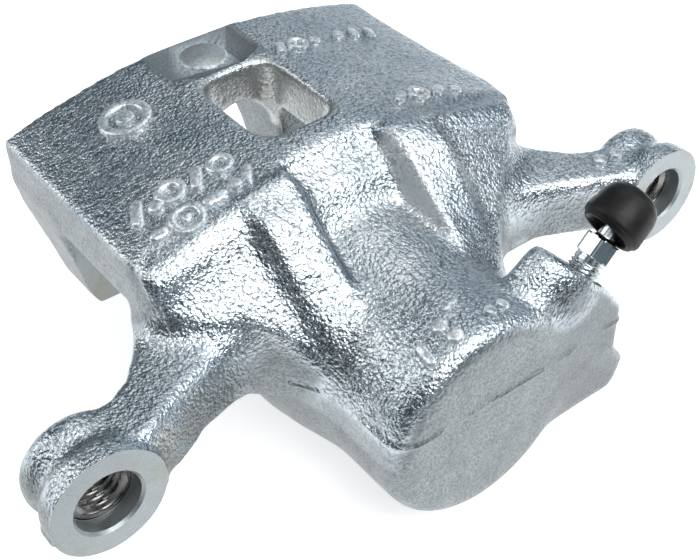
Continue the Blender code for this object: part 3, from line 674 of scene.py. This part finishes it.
def cutters(machined):
    """The tools that machine the casting, in the order of cutting."""
    reach = EAR_X + 20.0
    tools = [box("left_ear_face", (-reach, -8.0, -9.0), (-64.0, 0.0, 29.0)),
             box("right_ear_face", (64.0, -8.0, -9.0), (reach, 0.0, 29.0)),
             box("mouth_face", (-49.0, MOUTH_FACE, -34.0), (49.0, FINGER_FACE, 18.5))]
    bore = ((-18.3, 0.0), (-18.3, BORE_R - 1.4), (-16.9, BORE_R), (13.1, BORE_R), (13.1, 25.4),
            (17.9, 25.4), (17.9, BORE_R), (21.5, BORE_R), (21.5, 26.8), (MOUTH_FACE - 0.8, 26.8),
            (MOUTH_FACE + 0.4, 28.0), (MOUTH_FACE + 6.0, 28.0), (MOUTH_FACE + 6.0, 0.0))
    tools.append(turned("bore", bore, (0, 0, 0), Y_AXIS, FINE_STEPS))
    hole = ((-4.0, 0.0), (-4.0, EAR_SEAT_R + 4.6), (0.6, EAR_SEAT_R),
            (EAR_SEAT_DEPTH, EAR_SEAT_R), (EAR_SEAT_DEPTH, EAR_HOLE_R), (20.0, EAR_HOLE_R),
            (20.0, 0.0))
    for side in (-1, 1):
        tools.append(turned("pin_hole", hole, (side * EAR_X, 0, PIN_HEIGHT), Y_AXIS))
    bleed = ((10.0, 0.0), (10.0, 1.3), (BLEED_FACE - 14.0, 1.3), (BLEED_FACE - 11.0, SHANK_R),
             (BLEED_FACE - 0.9, SHANK_R), (BLEED_FACE - 0.4, 4.4), (BLEED_FACE - 0.4, 5.2),
             (BLEED_FACE + 6.0, 5.2), (BLEED_FACE + 6.0, 0.0))
    tools.append(turned("bleed_port", bleed, bleed_point(0.0), BLEED_DIR, 64))
    port = ((PORT[2] - 6.0, 0.0), (PORT[2] - 6.0, 6.2), (PORT[2], 6.2), (PORT[2], 5.1),
            (PORT[2] + 0.5, 4.6), (PORT[2] + 9.0, 4.6), (PORT[2] + 10.8, 0.0))
    tools.append(turned("hose_port", port, (PORT[0], PORT[1], 0), Z_AXIS, 64))
    for tool in tools:
        tool.data.materials.append(machined)
    return tools


# ---- materials

class Nodes:
    """Small helper that adds and links shader nodes."""

    def __init__(self, name):
        self.material = bpy.data.materials.new(name)
        self.material.use_nodes = True
        self.tree = self.material.node_tree
        self.shader = self.tree.nodes["Principled BSDF"]
        self.place = self.add("TexCoord").outputs["Object"]

    def add(self, kind, inputs=(), **settings):
        node = self.tree.nodes.new("ShaderNode" + kind)
        for key, value in settings.items():
            setattr(node, key, value)
        for key, value in dict(inputs).items():
            socket = node.inputs[key]
            if isinstance(value, bpy.types.NodeSocket):
                self.tree.links.new(value, socket)
            else:
                socket.default_value = value
        return node

    def vector_math(self, operation, a, b, output=0):
        return self.add("VectorMath", {0: a, 1: b}, operation=operation).outputs[output]

    def noise(self, scale, detail=3.0, rough=0.55, distortion=0.0, place=None):
        return self.add("TexNoise", {
            "Vector": place or self.place, "Scale": scale, "Detail": detail,
            "Roughness": rough, "Distortion": distortion}).outputs["Fac"]

    def range(self, value, low, high, to_low=0.0, to_high=1.0):
        return self.add("MapRange", {
            "Value": value, "From Min": low, "From Max": high, "To Min": to_low,
            "To Max": to_high}).outputs["Result"]

    def math(self, operation, a, b=0.5):
        return self.add("Math", {0: a, 1: b}, operation=operation).outputs[0]

    def times(self, a, b):
        return self.math("MULTIPLY", a, b)

    def mix(self, factor, a, b):
        node = self.add("Mix", {0: factor}, data_type="RGBA")
        for index, value in ((6, a), (7, b)):
            if isinstance(value, bpy.types.NodeSocket):
                self.tree.links.new(value, node.inputs[index])
            else:
                node.inputs[index].default_value = (*value, 1.0)
        return node.outputs[2]

    def attribute(self, name):
        return self.add("Attribute", attribute_name=name).outputs["Fac"]

    def bump(self, height, distance, strength=1.0, normal=None):
        inputs = {"Height": height, "Distance": distance, "Strength": strength}
        if normal is not None:
            inputs["Normal"] = normal
        return self.add("Bump", inputs).outputs["Normal"]

    def set(self, **values):
        for key, value in values.items():
            socket = self.shader.inputs[key.replace("_", " ")]
            if isinstance(value, bpy.types.NodeSocket):
                self.tree.links.new(value, socket)
            elif isinstance(value, tuple):
                socket.default_value = (*value, 1.0)
            else:
                socket.default_value = value


def cast_zinc(name="cast_zinc", depth=1.0, low=(0.44, 0.51, 0.56), high=(0.70, 0.74, 0.77),
              metallic=1.0):
    """Plated casting; depth scales its grain, low and high are the tones of the plating."""
    n = Nodes(name)
    grain = n.attribute("grain")
    tone = n.mix(n.range(n.noise(60.0, 4.0, 0.6), 0.32, 0.68), low, high)
    speck = n.noise(1700.0, 2.0, 0.6)
    wall = n.mix(n.range(n.noise(150.0, 5.0, 0.7), 0.3, 0.7), (0.235, 0.262, 0.272),
                 (0.325, 0.352, 0.362))
    wall = n.mix(n.range(speck, 0.36, 0.58, 0.7, 0.0), wall, (0.12, 0.13, 0.135))
    # Steep faces and draft walls (low grain) take the darker wall tone: partly their smoother
    # finish, partly painted shade on faces turned from the light.
    tone = n.mix(n.range(grain, 0.05, 0.7), wall, tone)
    # Painted light: the window's walls are lifted to a paler speckled grey against the shade
    # inside the opening.
    tone = n.mix(n.attribute("inside"), tone,
                 n.mix(n.range(speck, 0.3, 0.6), (0.44, 0.45, 0.445), (0.70, 0.71, 0.70)))
    # Painted shade: darker in hollows and corners and on the front of the bleeder's boss.
    tone = n.mix(n.times(n.attribute("hollow"), 0.7), tone, (0.13, 0.14, 0.15))
    # Painted light: the wall right of the valley is made paler and less metallic, for the bright
    # valley floor it reflects.
    pale = n.attribute("pale")
    tone = n.mix(n.times(pale, 0.8), tone, (0.50, 0.53, 0.545))
    rust = n.range(n.noise(120.0, 5.0, 0.7), 0.52, 0.72)
    tone = n.mix(n.times(rust, n.attribute("stain")), tone, (0.30, 0.25, 0.17))
    # The relief: round grains in a bent cell pattern, over two sizes of waves.
    fine = n.noise(1650.0, 1.0, 0.5, 0.1)
    coarse = n.noise(700.0, 1.0, 0.5, 0.1)
    bend = n.add("TexNoise", {"Vector": n.place, "Scale": 800.0, "Detail": 1.0})
    bend = n.vector_math("MULTIPLY", bend.outputs["Color"], (0.0011,) * 3)
    cell = n.add("TexVoronoi", {"Vector": n.vector_math("ADD", n.place, bend), "Scale": 1150.0},
                 feature="F1").outputs["Distance"]
    dome = n.math("SUBTRACT", 1.0, n.math("POWER", cell, 1.6))
    height = n.math("ADD", n.times(fine, 0.45), n.times(coarse, 0.45))
    height = n.math("ADD", height, n.times(dome, 0.38))
    # Painted shade: the crevices between the grains are darkened, most where the grain is strong.
    valley = n.range(cell, 0.50, 0.72)
    tone = n.mix(n.times(valley, n.range(grain, 0.0, 1.0, 0.05, 0.45)), tone,
                 (0.10, 0.105, 0.11))
    bump = n.bump(height, 0.00040 * depth, n.range(grain, 0.0, 1.0, 0.50, 1.0))
    bump = n.bump(n.noise(2600.0, 2.0), 0.00003, 0.7, bump)
    rough = n.range(n.noise(240.0, 4.0, 0.7), 0.3, 0.7, 0.20, 0.32)
    rough = n.math("ADD", rough, n.range(grain, 0.0, 1.0, 0.10, 0.0))
    n.set(Base_Color=tone, Metallic=n.range(pale, 0.0, 1.0, metallic, 0.35), Roughness=rough,
          Normal=bump)
    return n.material


def machined_zinc():
    """Turned and milled faces, with fine tool lines."""
    n = Nodes("machined_zinc")
    tone = n.mix(n.range(n.noise(4600.0, 2.0, 0.7), 0.36, 0.64), (0.30, 0.33, 0.34),
                 (0.42, 0.45, 0.46))
    stain = n.range(n.noise(95.0, 5.0, 0.65), 0.55, 0.66)
    tone = n.mix(n.times(stain, 0.55), tone, (0.33, 0.31, 0.22))
    lathe = n.noise(1.0, 2.0, place=n.vector_math("MULTIPLY", n.place, (4000.0, 300.0, 4000.0)))
    n.set(Base_Color=tone, Metallic=0.85, Roughness=n.range(n.noise(300.0), 0.3, 0.7, 0.30, 0.45),
          Normal=n.bump(lathe, 0.00002, 0.5))
    return n.material


def plated_steel(name, colour, rough, grime=0.3):
    """Bright steel with patches of grime."""
    n = Nodes(name)
    spots = n.range(n.noise(420.0, 4.0, 0.7), 0.5, 0.75)
    tone = n.mix(n.times(spots, grime), colour, (0.20, 0.19, 0.18))
    n.set(Base_Color=tone, Metallic=1.0,
          Roughness=n.range(n.noise(700.0, 3.0), 0.3, 0.7, rough * 0.8, rough * 1.5),
          Normal=n.bump(n.noise(2400.0, 2.0), 0.000015, 0.6))
    return n.material


def rubber(name, colour, dust=(0.10, 0.09, 0.08), rough=0.5):
    """Matt rubber with dusty patches."""
    n = Nodes(name)
    worn = n.range(n.noise(150.0, 5.0, 0.65), 0.48, 0.75)
    tone = n.mix(n.times(worn, 0.5), colour, dust)
    n.set(Base_Color=tone,
          Roughness=n.range(n.noise(260.0, 4.0), 0.3, 0.7, rough * 0.75, rough * 1.25),
          Normal=n.bump(n.noise(900.0, 3.0), 0.00007, 0.6), Specular_IOR_Level=0.28)
    return n.material


def moulded_plastic():
    n = Nodes("moulded_plastic")
    tone = n.mix(n.range(n.noise(140.0, 3.0), 0.35, 0.7), (0.45, 0.030, 0.022),
                 (0.56, 0.055, 0.04))
    n.set(Base_Color=tone, Roughness=n.range(n.noise(600.0), 0.3, 0.7, 0.32, 0.5),
          Normal=n.bump(n.noise(1800.0, 2.0), 0.00002, 0.5))
    return n.material


# ---- pieces

def saw(phase):
    """Thread form with rounded roots: 0 at the crest, 1 at the root."""
    t = abs((phase % 1.0) * 2.0 - 1.0)
    return min(max((t - 0.12) / 0.76, 0.0), 1.0)


def ear_thread(side):
    """The thread in an ear, as a sleeve inside the hole."""
    segments, pitch, start, end, inside, outside = 72, 1.75, 4.3, 17.0, 6.5, 7.2
    steps = int((end - start) / (pitch / 9.0))
    place = axis_frame((side * EAR_X, 0, PIN_HEIGHT), Y_AXIS)

    def row(along, radius_at):
        return ring_row(place, along, radius_at, segments)

    rows = [row(start - 0.1, lambda a: outside), row(start - 0.1, lambda a: inside)]
    for step in range(steps + 1):
        along = start + (end - start) * step / steps
        lead = max(0.0, 1.0 - (along - start) / 1.2)
        rows.append(row(along, lambda a: EAR_THREAD_R + saw(along / pitch - a / (2 * math.pi))
                        * (1.0 - 0.4 * lead) + 0.7 * lead))
    rows += [row(end + 0.1, lambda a: inside), row(end + 0.1, lambda a: outside)]
    return grid_surface("left_ear_thread" if side < 0 else "right_ear_thread", rows,
                        closed_rows=True)


def bleeder():
    """Threaded shank, collar, hexagon, neck and hose barb."""
    place = axis_frame(bleed_point(0.0), BLEED_DIR)
    segments, pitch, half_flats = 72, 1.0, 3.9
    hex_to = HEX_FROM + HEX_HEIGHT
    tip = hex_to + NIPPLE
    turn = math.radians(8.0)

    def hex_radius(angle, along):
        sector = (angle + turn) % (math.pi / 3.0) - math.pi / 6.0
        flat = half_flats / math.cos(sector)
        edge = min(along - HEX_FROM, hex_to - along)
        return min(flat, 3.85 + 1.9 * max(edge, 0.0))

    def ring(along, radius_at):
        rows.append(ring_row(place, along, lambda a: radius_at(a, along), segments))

    def plain(value):
        return lambda angle, along: value

    def thread(angle, along):
        full = min(1.0, max(0.0, (HEX_FROM - 1.2 - along) / 0.5))
        groove = 0.55 * saw(along / pitch - angle / (2 * math.pi)) * full
        return SHANK_R - groove - 0.25 * (1 - full)

    tip_from = BLEED_FACE - 10.5
    rows = [axis_row(place, tip_from)]
    ring(tip_from + 0.01, plain(0.9))
    ring(tip_from + 2.0, plain(2.7))
    ring(BLEED_FACE - 6.2, plain(2.7))
    thread_steps, hex_steps = 90, 12
    for step in range(thread_steps + 1):
        ring(BLEED_FACE - 6.0 + (HEX_FROM - BLEED_FACE + 5.4) * step / thread_steps, thread)
    ring(HEX_FROM - 0.5, plain(3.5))
    ring(HEX_FROM - 0.02, plain(3.5))
    for step in range(hex_steps + 1):
        ease = 0.5 - 0.5 * math.cos(math.pi * (step / hex_steps))
        ring(HEX_FROM + HEX_HEIGHT * ease, hex_radius)
    neck = ((hex_to + 0.01, 2.9), (hex_to + 0.15, 2.55), (hex_to + 0.6, 2.35), (tip - 4.6, 2.3),
            (tip - 3.9, 2.4), (tip - 3.4, 2.7), (tip - 2.6, 2.7), (tip - 0.3, 2.0), (tip, 1.7),
            (tip, 0.9), (tip - 3.0, 0.85))
    for along, radius in rounded(neck, 0.25, 2):
        ring(along, plain(radius))
    rows.append(axis_row(place, tip - 3.0))
    return grid_surface("bleeder", rows)


def cap():
    """The rubber cap: domed cup with a stepped lip, cocked on the nipple."""
    pivot = bleed_point(HEX_FROM + HEX_HEIGHT + NIPPLE - 3.0)
    angle = math.pi / 4.0 - CAP_LEAN
    lip, top = -4.6, 3.6
    outer = ((lip + 3.0, 3.35), (lip + 1.4, 4.3), (lip + 0.2, 5.2), (lip, 5.6), (lip, 6.2),
             (lip + 0.7, 6.6), (lip + 0.95, 6.75), (lip + 1.05, 7.1), (lip + 1.9, 7.35),
             (lip + 3.0, 7.2), (top - 1.0, 6.75), (top + 1.0, 6.1), (top + 2.4, 4.9),
             (top + 3.1, 3.0), (top + 3.25, 0.0))
    inner = ((top + 1.6, 0.0), (top + 1.6, 2.9), (top + 0.8, 3.2), (lip + 3.4, 3.3))
    profile = list(inner) + rounded(outer, 0.5, 4)

    def wobble(a, along):
        return 0.07 * math.sin(2 * a + 0.6) + 0.03 * math.sin(5 * a + along)

    return turned("bleeder_cap_moulded", profile, pivot, (math.cos(angle), 0.0, math.sin(angle)),
                  wobble=wobble)


def piston():
    """The hollow piston, with the boot's groove near its open end."""
    r = PISTON_R
    profile = ((-15.0, 0.0), (-15.0, r - 2.0), (-13.0, r), (26.0, r), (26.0, BOOT_GROOVE_R),
               (28.0, BOOT_GROOVE_R), (28.0, r - 0.2), (29.0, r - 0.2), (29.6, r - 0.8),
               (29.6, r - 4.0), (29.0, r - 4.6), (-6.0, r - 5.2), (-8.5, r - 7.6),
               (-8.5, 0.0))
    return turned("piston_turned", rounded(profile, 0.5, 3), (0, 0, 0), Y_AXIS, FINE_STEPS)


def boot():
    """Rubber boot: rim in the mouth, two soft folds, bead in the piston's groove."""
    profile = ((21.9, 24.2), (21.9, 26.4), (24.2, 26.4), (24.3, 24.9), (25.9, 24.75),
               (26.6, 24.2), (26.7, 23.5), (26.2, 22.9), (26.3, 22.3), (27.2, 22.1),
               (27.6, 21.7), (27.6, 20.6), (26.4, 20.6), (26.35, 21.4), (25.6, 22.0),
               (25.5, 23.2), (25.3, 23.9), (23.4, 24.0))
    return turned("boot_folds", profile, (0, 0, 0), Y_AXIS, FINE_STEPS, closed=True)


def plug():
    """Push-in plug with a ridged stem, a flange and a fluted grip."""
    head = PORT[2] - 0.4
    profile = ((head - 4.2, 0.0), (head - 4.2, 2.4), (head - 3.7, 3.0), (head - 1.5, 3.0),
               (head - 1.4, 5.1), (head - 1.0, 5.6), (head - 0.4, 5.6), (head, 5.2), (head, 4.2),
               (head + 1.2, 4.15), (head + 1.6, 4.4), (head + 2.0, 4.1), (head + 3.0, 4.0),
               (head + 3.4, 4.3), (head + 3.8, 3.9), (head + 5.4, 3.7), (head + 7.0, 3.0),
               (head + 7.0, 2.2), (head - 1.2, 2.6), (head - 1.2, 0.0))

    def wobble(a, along):
        return 0.16 * abs(math.cos(9 * a)) if along < head - 1.45 else 0.0

    return turned("port_plug", profile, (PORT[0], PORT[1], 0), Z_AXIS, 72, wobble=wobble)


# ---- assembly

# Rust-brown patches: centre, radius and strength.
STAINS = (((-60, 6, 14), 14, 0.8), ((0, 62, 40), 18, 0.5), ((28, 40, 40), 14, 0.8),
          ((78, 4, 9), 16, 0.5), ((-78, 4, 9), 16, 0.4), ((-10, 35, 42), 9, 1.0),
          ((-34, 86, 39), 12, 0.6), ((16, 86, 42), 9, 0.8))


def measure_attributes(body):
    """Store on the mesh where the casting is grainy and stained, where painted shade darkens it
    (hollow) and where painted light lifts it (inside, pale).
    """
    surface = Surface(body)
    normals = surface.normals()
    pull = surface.average(surface.co) - surface.co
    for _ in range(2):
        pull = surface.average(pull)
    # Painted shade: hollow is how deep each point sits in a hollow or corner, and darkens it
    # there.
    hollow = np.clip((pull * normals).sum(1) * 9.0, 0.0, 1.0)
    grain = grain_mask(surface.co, normals)
    for _ in range(2):
        grain = surface.average(grain[:, None])[:, 0]
    co = surface.co
    stain = np.zeros(len(co))
    for centre, radius, amount in STAINS:
        distance = np.linalg.norm(co - np.array(centre), axis=1)
        stain = np.maximum(stain, amount * (1.0 - smoothstep(distance, 0.4 * radius, radius)))
    recess = (np.abs(co[:, 0] + 1.5) < 13.5) & (co[:, 1] > 71.0) & (co[:, 2] > 41.0)
    grain[recess & (normals[:, 2] > 0.8)] *= 0.3
    # Painted shade on the front faces out to the right, round the bleeder's boss.
    boss_front = smoothstep(co[:, 0], 15.0, 24.0) * (co[:, 1] < -22.6)
    hollow = np.maximum(hollow, 0.65 * boss_front)
    # The dark patch high on the front of the bleeder's boss is painted shade; the grain is
    # stronger there too.
    from_patch = np.linalg.norm(co - np.array((24.0, -21.8, 21.0)), axis=1)
    hollow = np.maximum(hollow, 1.0 - smoothstep(from_patch, 3.0, 6.0))
    grain = np.maximum(grain, 0.9 - 0.9 * smoothstep(from_patch, 5.5, 9.5))
    # Painted light: marks the window's walls, which are painted paler.
    inside = window_zone(co).astype(float)
    # Painted light: the wall on the right of the valley is made paler and less metallic, standing
    # in for the bright valley floor it reflects.
    pale = smoothstep(co[:, 0], 9.5, 11.5) * fade(co[:, 0], 14.0, 15.5)
    pale *= smoothstep(-normals[:, 0], 0.15, 0.40) * smoothstep(co[:, 2], 22.0, 26.0)
    pale *= smoothstep(co[:, 1], 2.0, 8.0) * fade(co[:, 1], 27.0, 30.0)
    for name, values in (("grain", grain), ("hollow", hollow), ("stain", stain),
                         ("inside", inside), ("pale", pale)):
        attribute = body.data.attributes.new(name, "FLOAT", "POINT")
        attribute.data.foreach_set("value", values.astype(np.float32))


def dress(obj, material, angle, ride_on, node=None):
    """Give a finished piece its material, shading and body."""
    if material:
        obj.data.materials.append(material)
    shade(obj, angle)
    if node:
        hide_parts(node)
    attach(obj, ride_on)


def build_object():
    zinc = cast_zinc()
    # The raised marks and the pad are lighter and less metallic: partly rubbed wear, partly a
    # painted highlight.
    worn = cast_zinc("worn_highlit_zinc", 0.35, (0.62, 0.68, 0.72), (0.84, 0.87, 0.89), 0.68)
    recessed = cast_zinc("recess_zinc", 0.5, (0.48, 0.54, 0.58), (0.68, 0.73, 0.76), 0.65)
    machined = machined_zinc()
    thread_steel = plated_steel("thread_steel", (0.26, 0.25, 0.24), 0.24, 0.9)
    body = cast_body()
    body.data.materials.append(zinc)
    for tool, operation in ((raised_marks(body), "UNION"), (pad_recess(), "DIFFERENCE"),
                            (locating_pad(), "UNION")):
        tool.data.materials.append(worn if operation == "UNION" else recessed)
        combine(body, tool, operation)
    for tool in cutters(machined):
        combine(body, tool, "DIFFERENCE")
    measure_attributes(body)
    dress(body, None, 42.0, "body", "caliper_housing")
    for side in (-1, 1):
        dress(ear_thread(side), thread_steel, 40.0, "body")
    pieces = (
        (bleeder(), "bleeder_screw", "bleeder_steel", "bleeder",
         plated_steel("bleeder_zinc", (0.60, 0.63, 0.64), 0.13, 0.25), 28.0),
        (cap(), "bleeder_cap", "cap_rubber", "cap",
         rubber("cap_rubber", (0.005, 0.0045, 0.0045), (0.020, 0.015, 0.012), 0.46), 35.0),
        (piston(), "piston", "piston_chrome", "piston",
         plated_steel("piston_chrome", (0.70, 0.71, 0.72), 0.12, 0.15), 30.0),
        (plug(), "hose_port_plug", "plug_plastic", "port_plug", moulded_plastic(), 30.0))
    for obj, node, slot, ride_on, material, angle in pieces:
        dress(obj, material, angle, ride_on, node)
    folds = boot()
    folds.data.materials.append(rubber("boot_rubber", (0.028, 0.027, 0.026), rough=0.6))
    shade(folds, 50.0)
    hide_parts("dust_boot")
    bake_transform(folds)
    for node, material in (("piston_seal", rubber("seal_rubber", (0.035, 0.035, 0.04), rough=0.4)),
                           ("boot_retaining_ring",
                            plated_steel("ring_steel", (0.40, 0.40, 0.41), 0.3, 0.4))):
        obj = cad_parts[node]
        obj.data.materials.clear()
        obj.data.materials.append(material)


def studio_floor():
    """A plain pale floor, clear from below; on the camera's side of the casting it is darker where
    only reflections see it, a painted shade for the casting's lower walls to reflect.
    """
    low, half = -30.9 * MM, 6.0
    mesh = bpy.data.meshes.new("studio_floor")
    mesh.from_pydata([(-half, -half, low), (half, -half, low), (half, half, low),
                      (-half, half, low)], [], [(0, 1, 2, 3)])
    floor = linked("studio_floor", mesh)
    n = Nodes("studio_floor")
    away = n.vector_math("DOT_PRODUCT", n.place, (0.605, 0.796, 0.0), "Value")
    seen = n.add("LightPath").outputs["Is Camera Ray"]
    # Painted shade: the floor on the camera's side turns dark for reflections only, so the
    # casting's lower walls reflect it as shadow.
    near = n.math("MAXIMUM", n.range(away, -0.15, -0.015), seen)
    pale = n.mix(n.noise(4.0), (0.82, 0.82, 0.82), (0.85, 0.85, 0.85))
    n.set(Base_Color=n.mix(near, (0.30, 0.30, 0.30), pale), Roughness=0.9,
          Emission_Color=(1.0, 1.0, 1.0), Emission_Strength=n.range(near, 0.0, 1.0, 0.06, 0.60))
    behind = n.add("NewGeometry").outputs["Backfacing"]
    clear = n.add("BsdfTransparent").outputs[0]
    both = n.add("MixShader", {0: behind, 1: n.shader.outputs[0], 2: clear})
    n.tree.links.new(both.outputs[0], n.tree.nodes["Material Output"].inputs["Surface"])
    floor.data.materials.append(n.material)


# Direction, the cosines where a lobe starts and is full, and its strength. A bright lobe adds
# light and a dark one takes a share away.
AMBIENT = 0.17
BRIGHT_LOBES = (((0.25, -0.55, 0.80), 0.38, 0.97, 0.9), ((0.74, 0.62, 0.28), 0.90, 0.985, 0.5),
                ((-0.68, 0.52, 0.50), 0.86, 0.97, 2.0), ((0.32, 0.38, 0.87), 0.92, 0.985, 1.0),
                ((-0.42, -0.22, 0.885), 0.93, 0.98, 0.8))
DARK_LOBES = (((-0.95, 0.12, 0.22), 0.86, 0.95, 0.75), ((-0.74, -0.57, 0.36), 0.90, 0.975, 0.85),
              ((0.25, -0.96, 0.08), 0.82, 0.96, 0.9), ((0.88, -0.40, 0.28), 0.90, 0.97, 0.5))


def studio_world():
    """Soft light from all round, cool where it is dim and warm where it is bright."""
    world = bpy.data.worlds.new("studio")
    bpy.context.scene.world = world
    world.use_nodes = True
    tree = world.node_tree
    background = tree.nodes["Background"]
    place = tree.nodes.new("ShaderNodeTexCoord").outputs["Generated"]

    def node(kind, operation, a, b):
        made = tree.nodes.new("ShaderNode" + kind)
        made.operation = operation
        for socket, value in zip(made.inputs, (a, b)):
            if isinstance(value, bpy.types.NodeSocket):
                tree.links.new(value, socket)
            else:
                socket.default_value = value
        return made

    def ramp(value, start, end):
        made = tree.nodes.new("ShaderNodeMapRange")
        tree.links.new(value, made.inputs["Value"])
        made.inputs["From Min"].default_value = start
        made.inputs["From Max"].default_value = end
        return made

    def lobe(direction, start, end, amount):
        dot = node("VectorMath", "DOT_PRODUCT", place,
                   Vector(direction).normalized()).outputs["Value"]
        made = ramp(dot, start, end)
        made.interpolation_type = "SMOOTHSTEP"
        made.inputs["To Max"].default_value = amount
        return made.outputs["Result"]

    light = AMBIENT
    for values in BRIGHT_LOBES:
        light = node("Math", "ADD", lobe(*values), light).outputs[0]
    for values in DARK_LOBES:
        share = node("Math", "SUBTRACT", 1.0, lobe(*values)).outputs[0]
        light = node("Math", "MULTIPLY", light, share).outputs[0]
    tint = tree.nodes.new("ShaderNodeMix")
    tint.data_type = "RGBA"
    tree.links.new(ramp(light, 0.35, 1.3).outputs["Result"], tint.inputs[0])
    tint.inputs[6].default_value = (0.68, 0.86, 1.0, 1.0)
    tint.inputs[7].default_value = (1.0, 0.985, 0.97, 1.0)
    tree.links.new(tint.outputs[2], background.inputs["Color"])
    tree.links.new(light, background.inputs["Strength"])
    bpy.context.scene.view_settings.view_transform = "Standard"


def studio_lamps():
    centre = Vector((0.0, 0.055, 0.0))
    distance = 0.9
    for name, direction, size, power in (("key", (0.05, -0.62, 0.78), 0.60, 4.6),
                                         ("side_key", (0.62, -0.52, 0.60), 0.36, 0.9)):
        lamp = bpy.data.lights.new(name, "AREA")
        lamp.energy = power
        lamp.size = size
        obj = linked(name, lamp)
        direction = Vector(direction).normalized()
        obj.location = centre + direction * distance
        obj.rotation_euler = (-direction).to_track_quat("-Z", "Y").to_euler()


def camera():
    """The view of the photograph."""
    data = bpy.data.cameras.new("camera")
    data.sensor_width = 36.0
    data.lens = 65.9
    data.clip_start = 0.01
    obj = linked("camera", data)
    right = Vector((0.790, -0.613, -0.012))
    forward = Vector((0.457, 0.601, -0.655)).normalized()
    right = (right - forward * right.dot(forward)).normalized()
    up = right.cross(forward)
    matrix = Matrix((right, up, -forward)).transposed().to_4x4()
    matrix.translation = Vector((-0.1367, -0.1313, 0.2031))
    obj.matrix_world = matrix
    bpy.context.scene.camera = obj


build_object()
studio_floor()
studio_world()
studio_lamps()
camera()
bpy.context.view_layer.update()
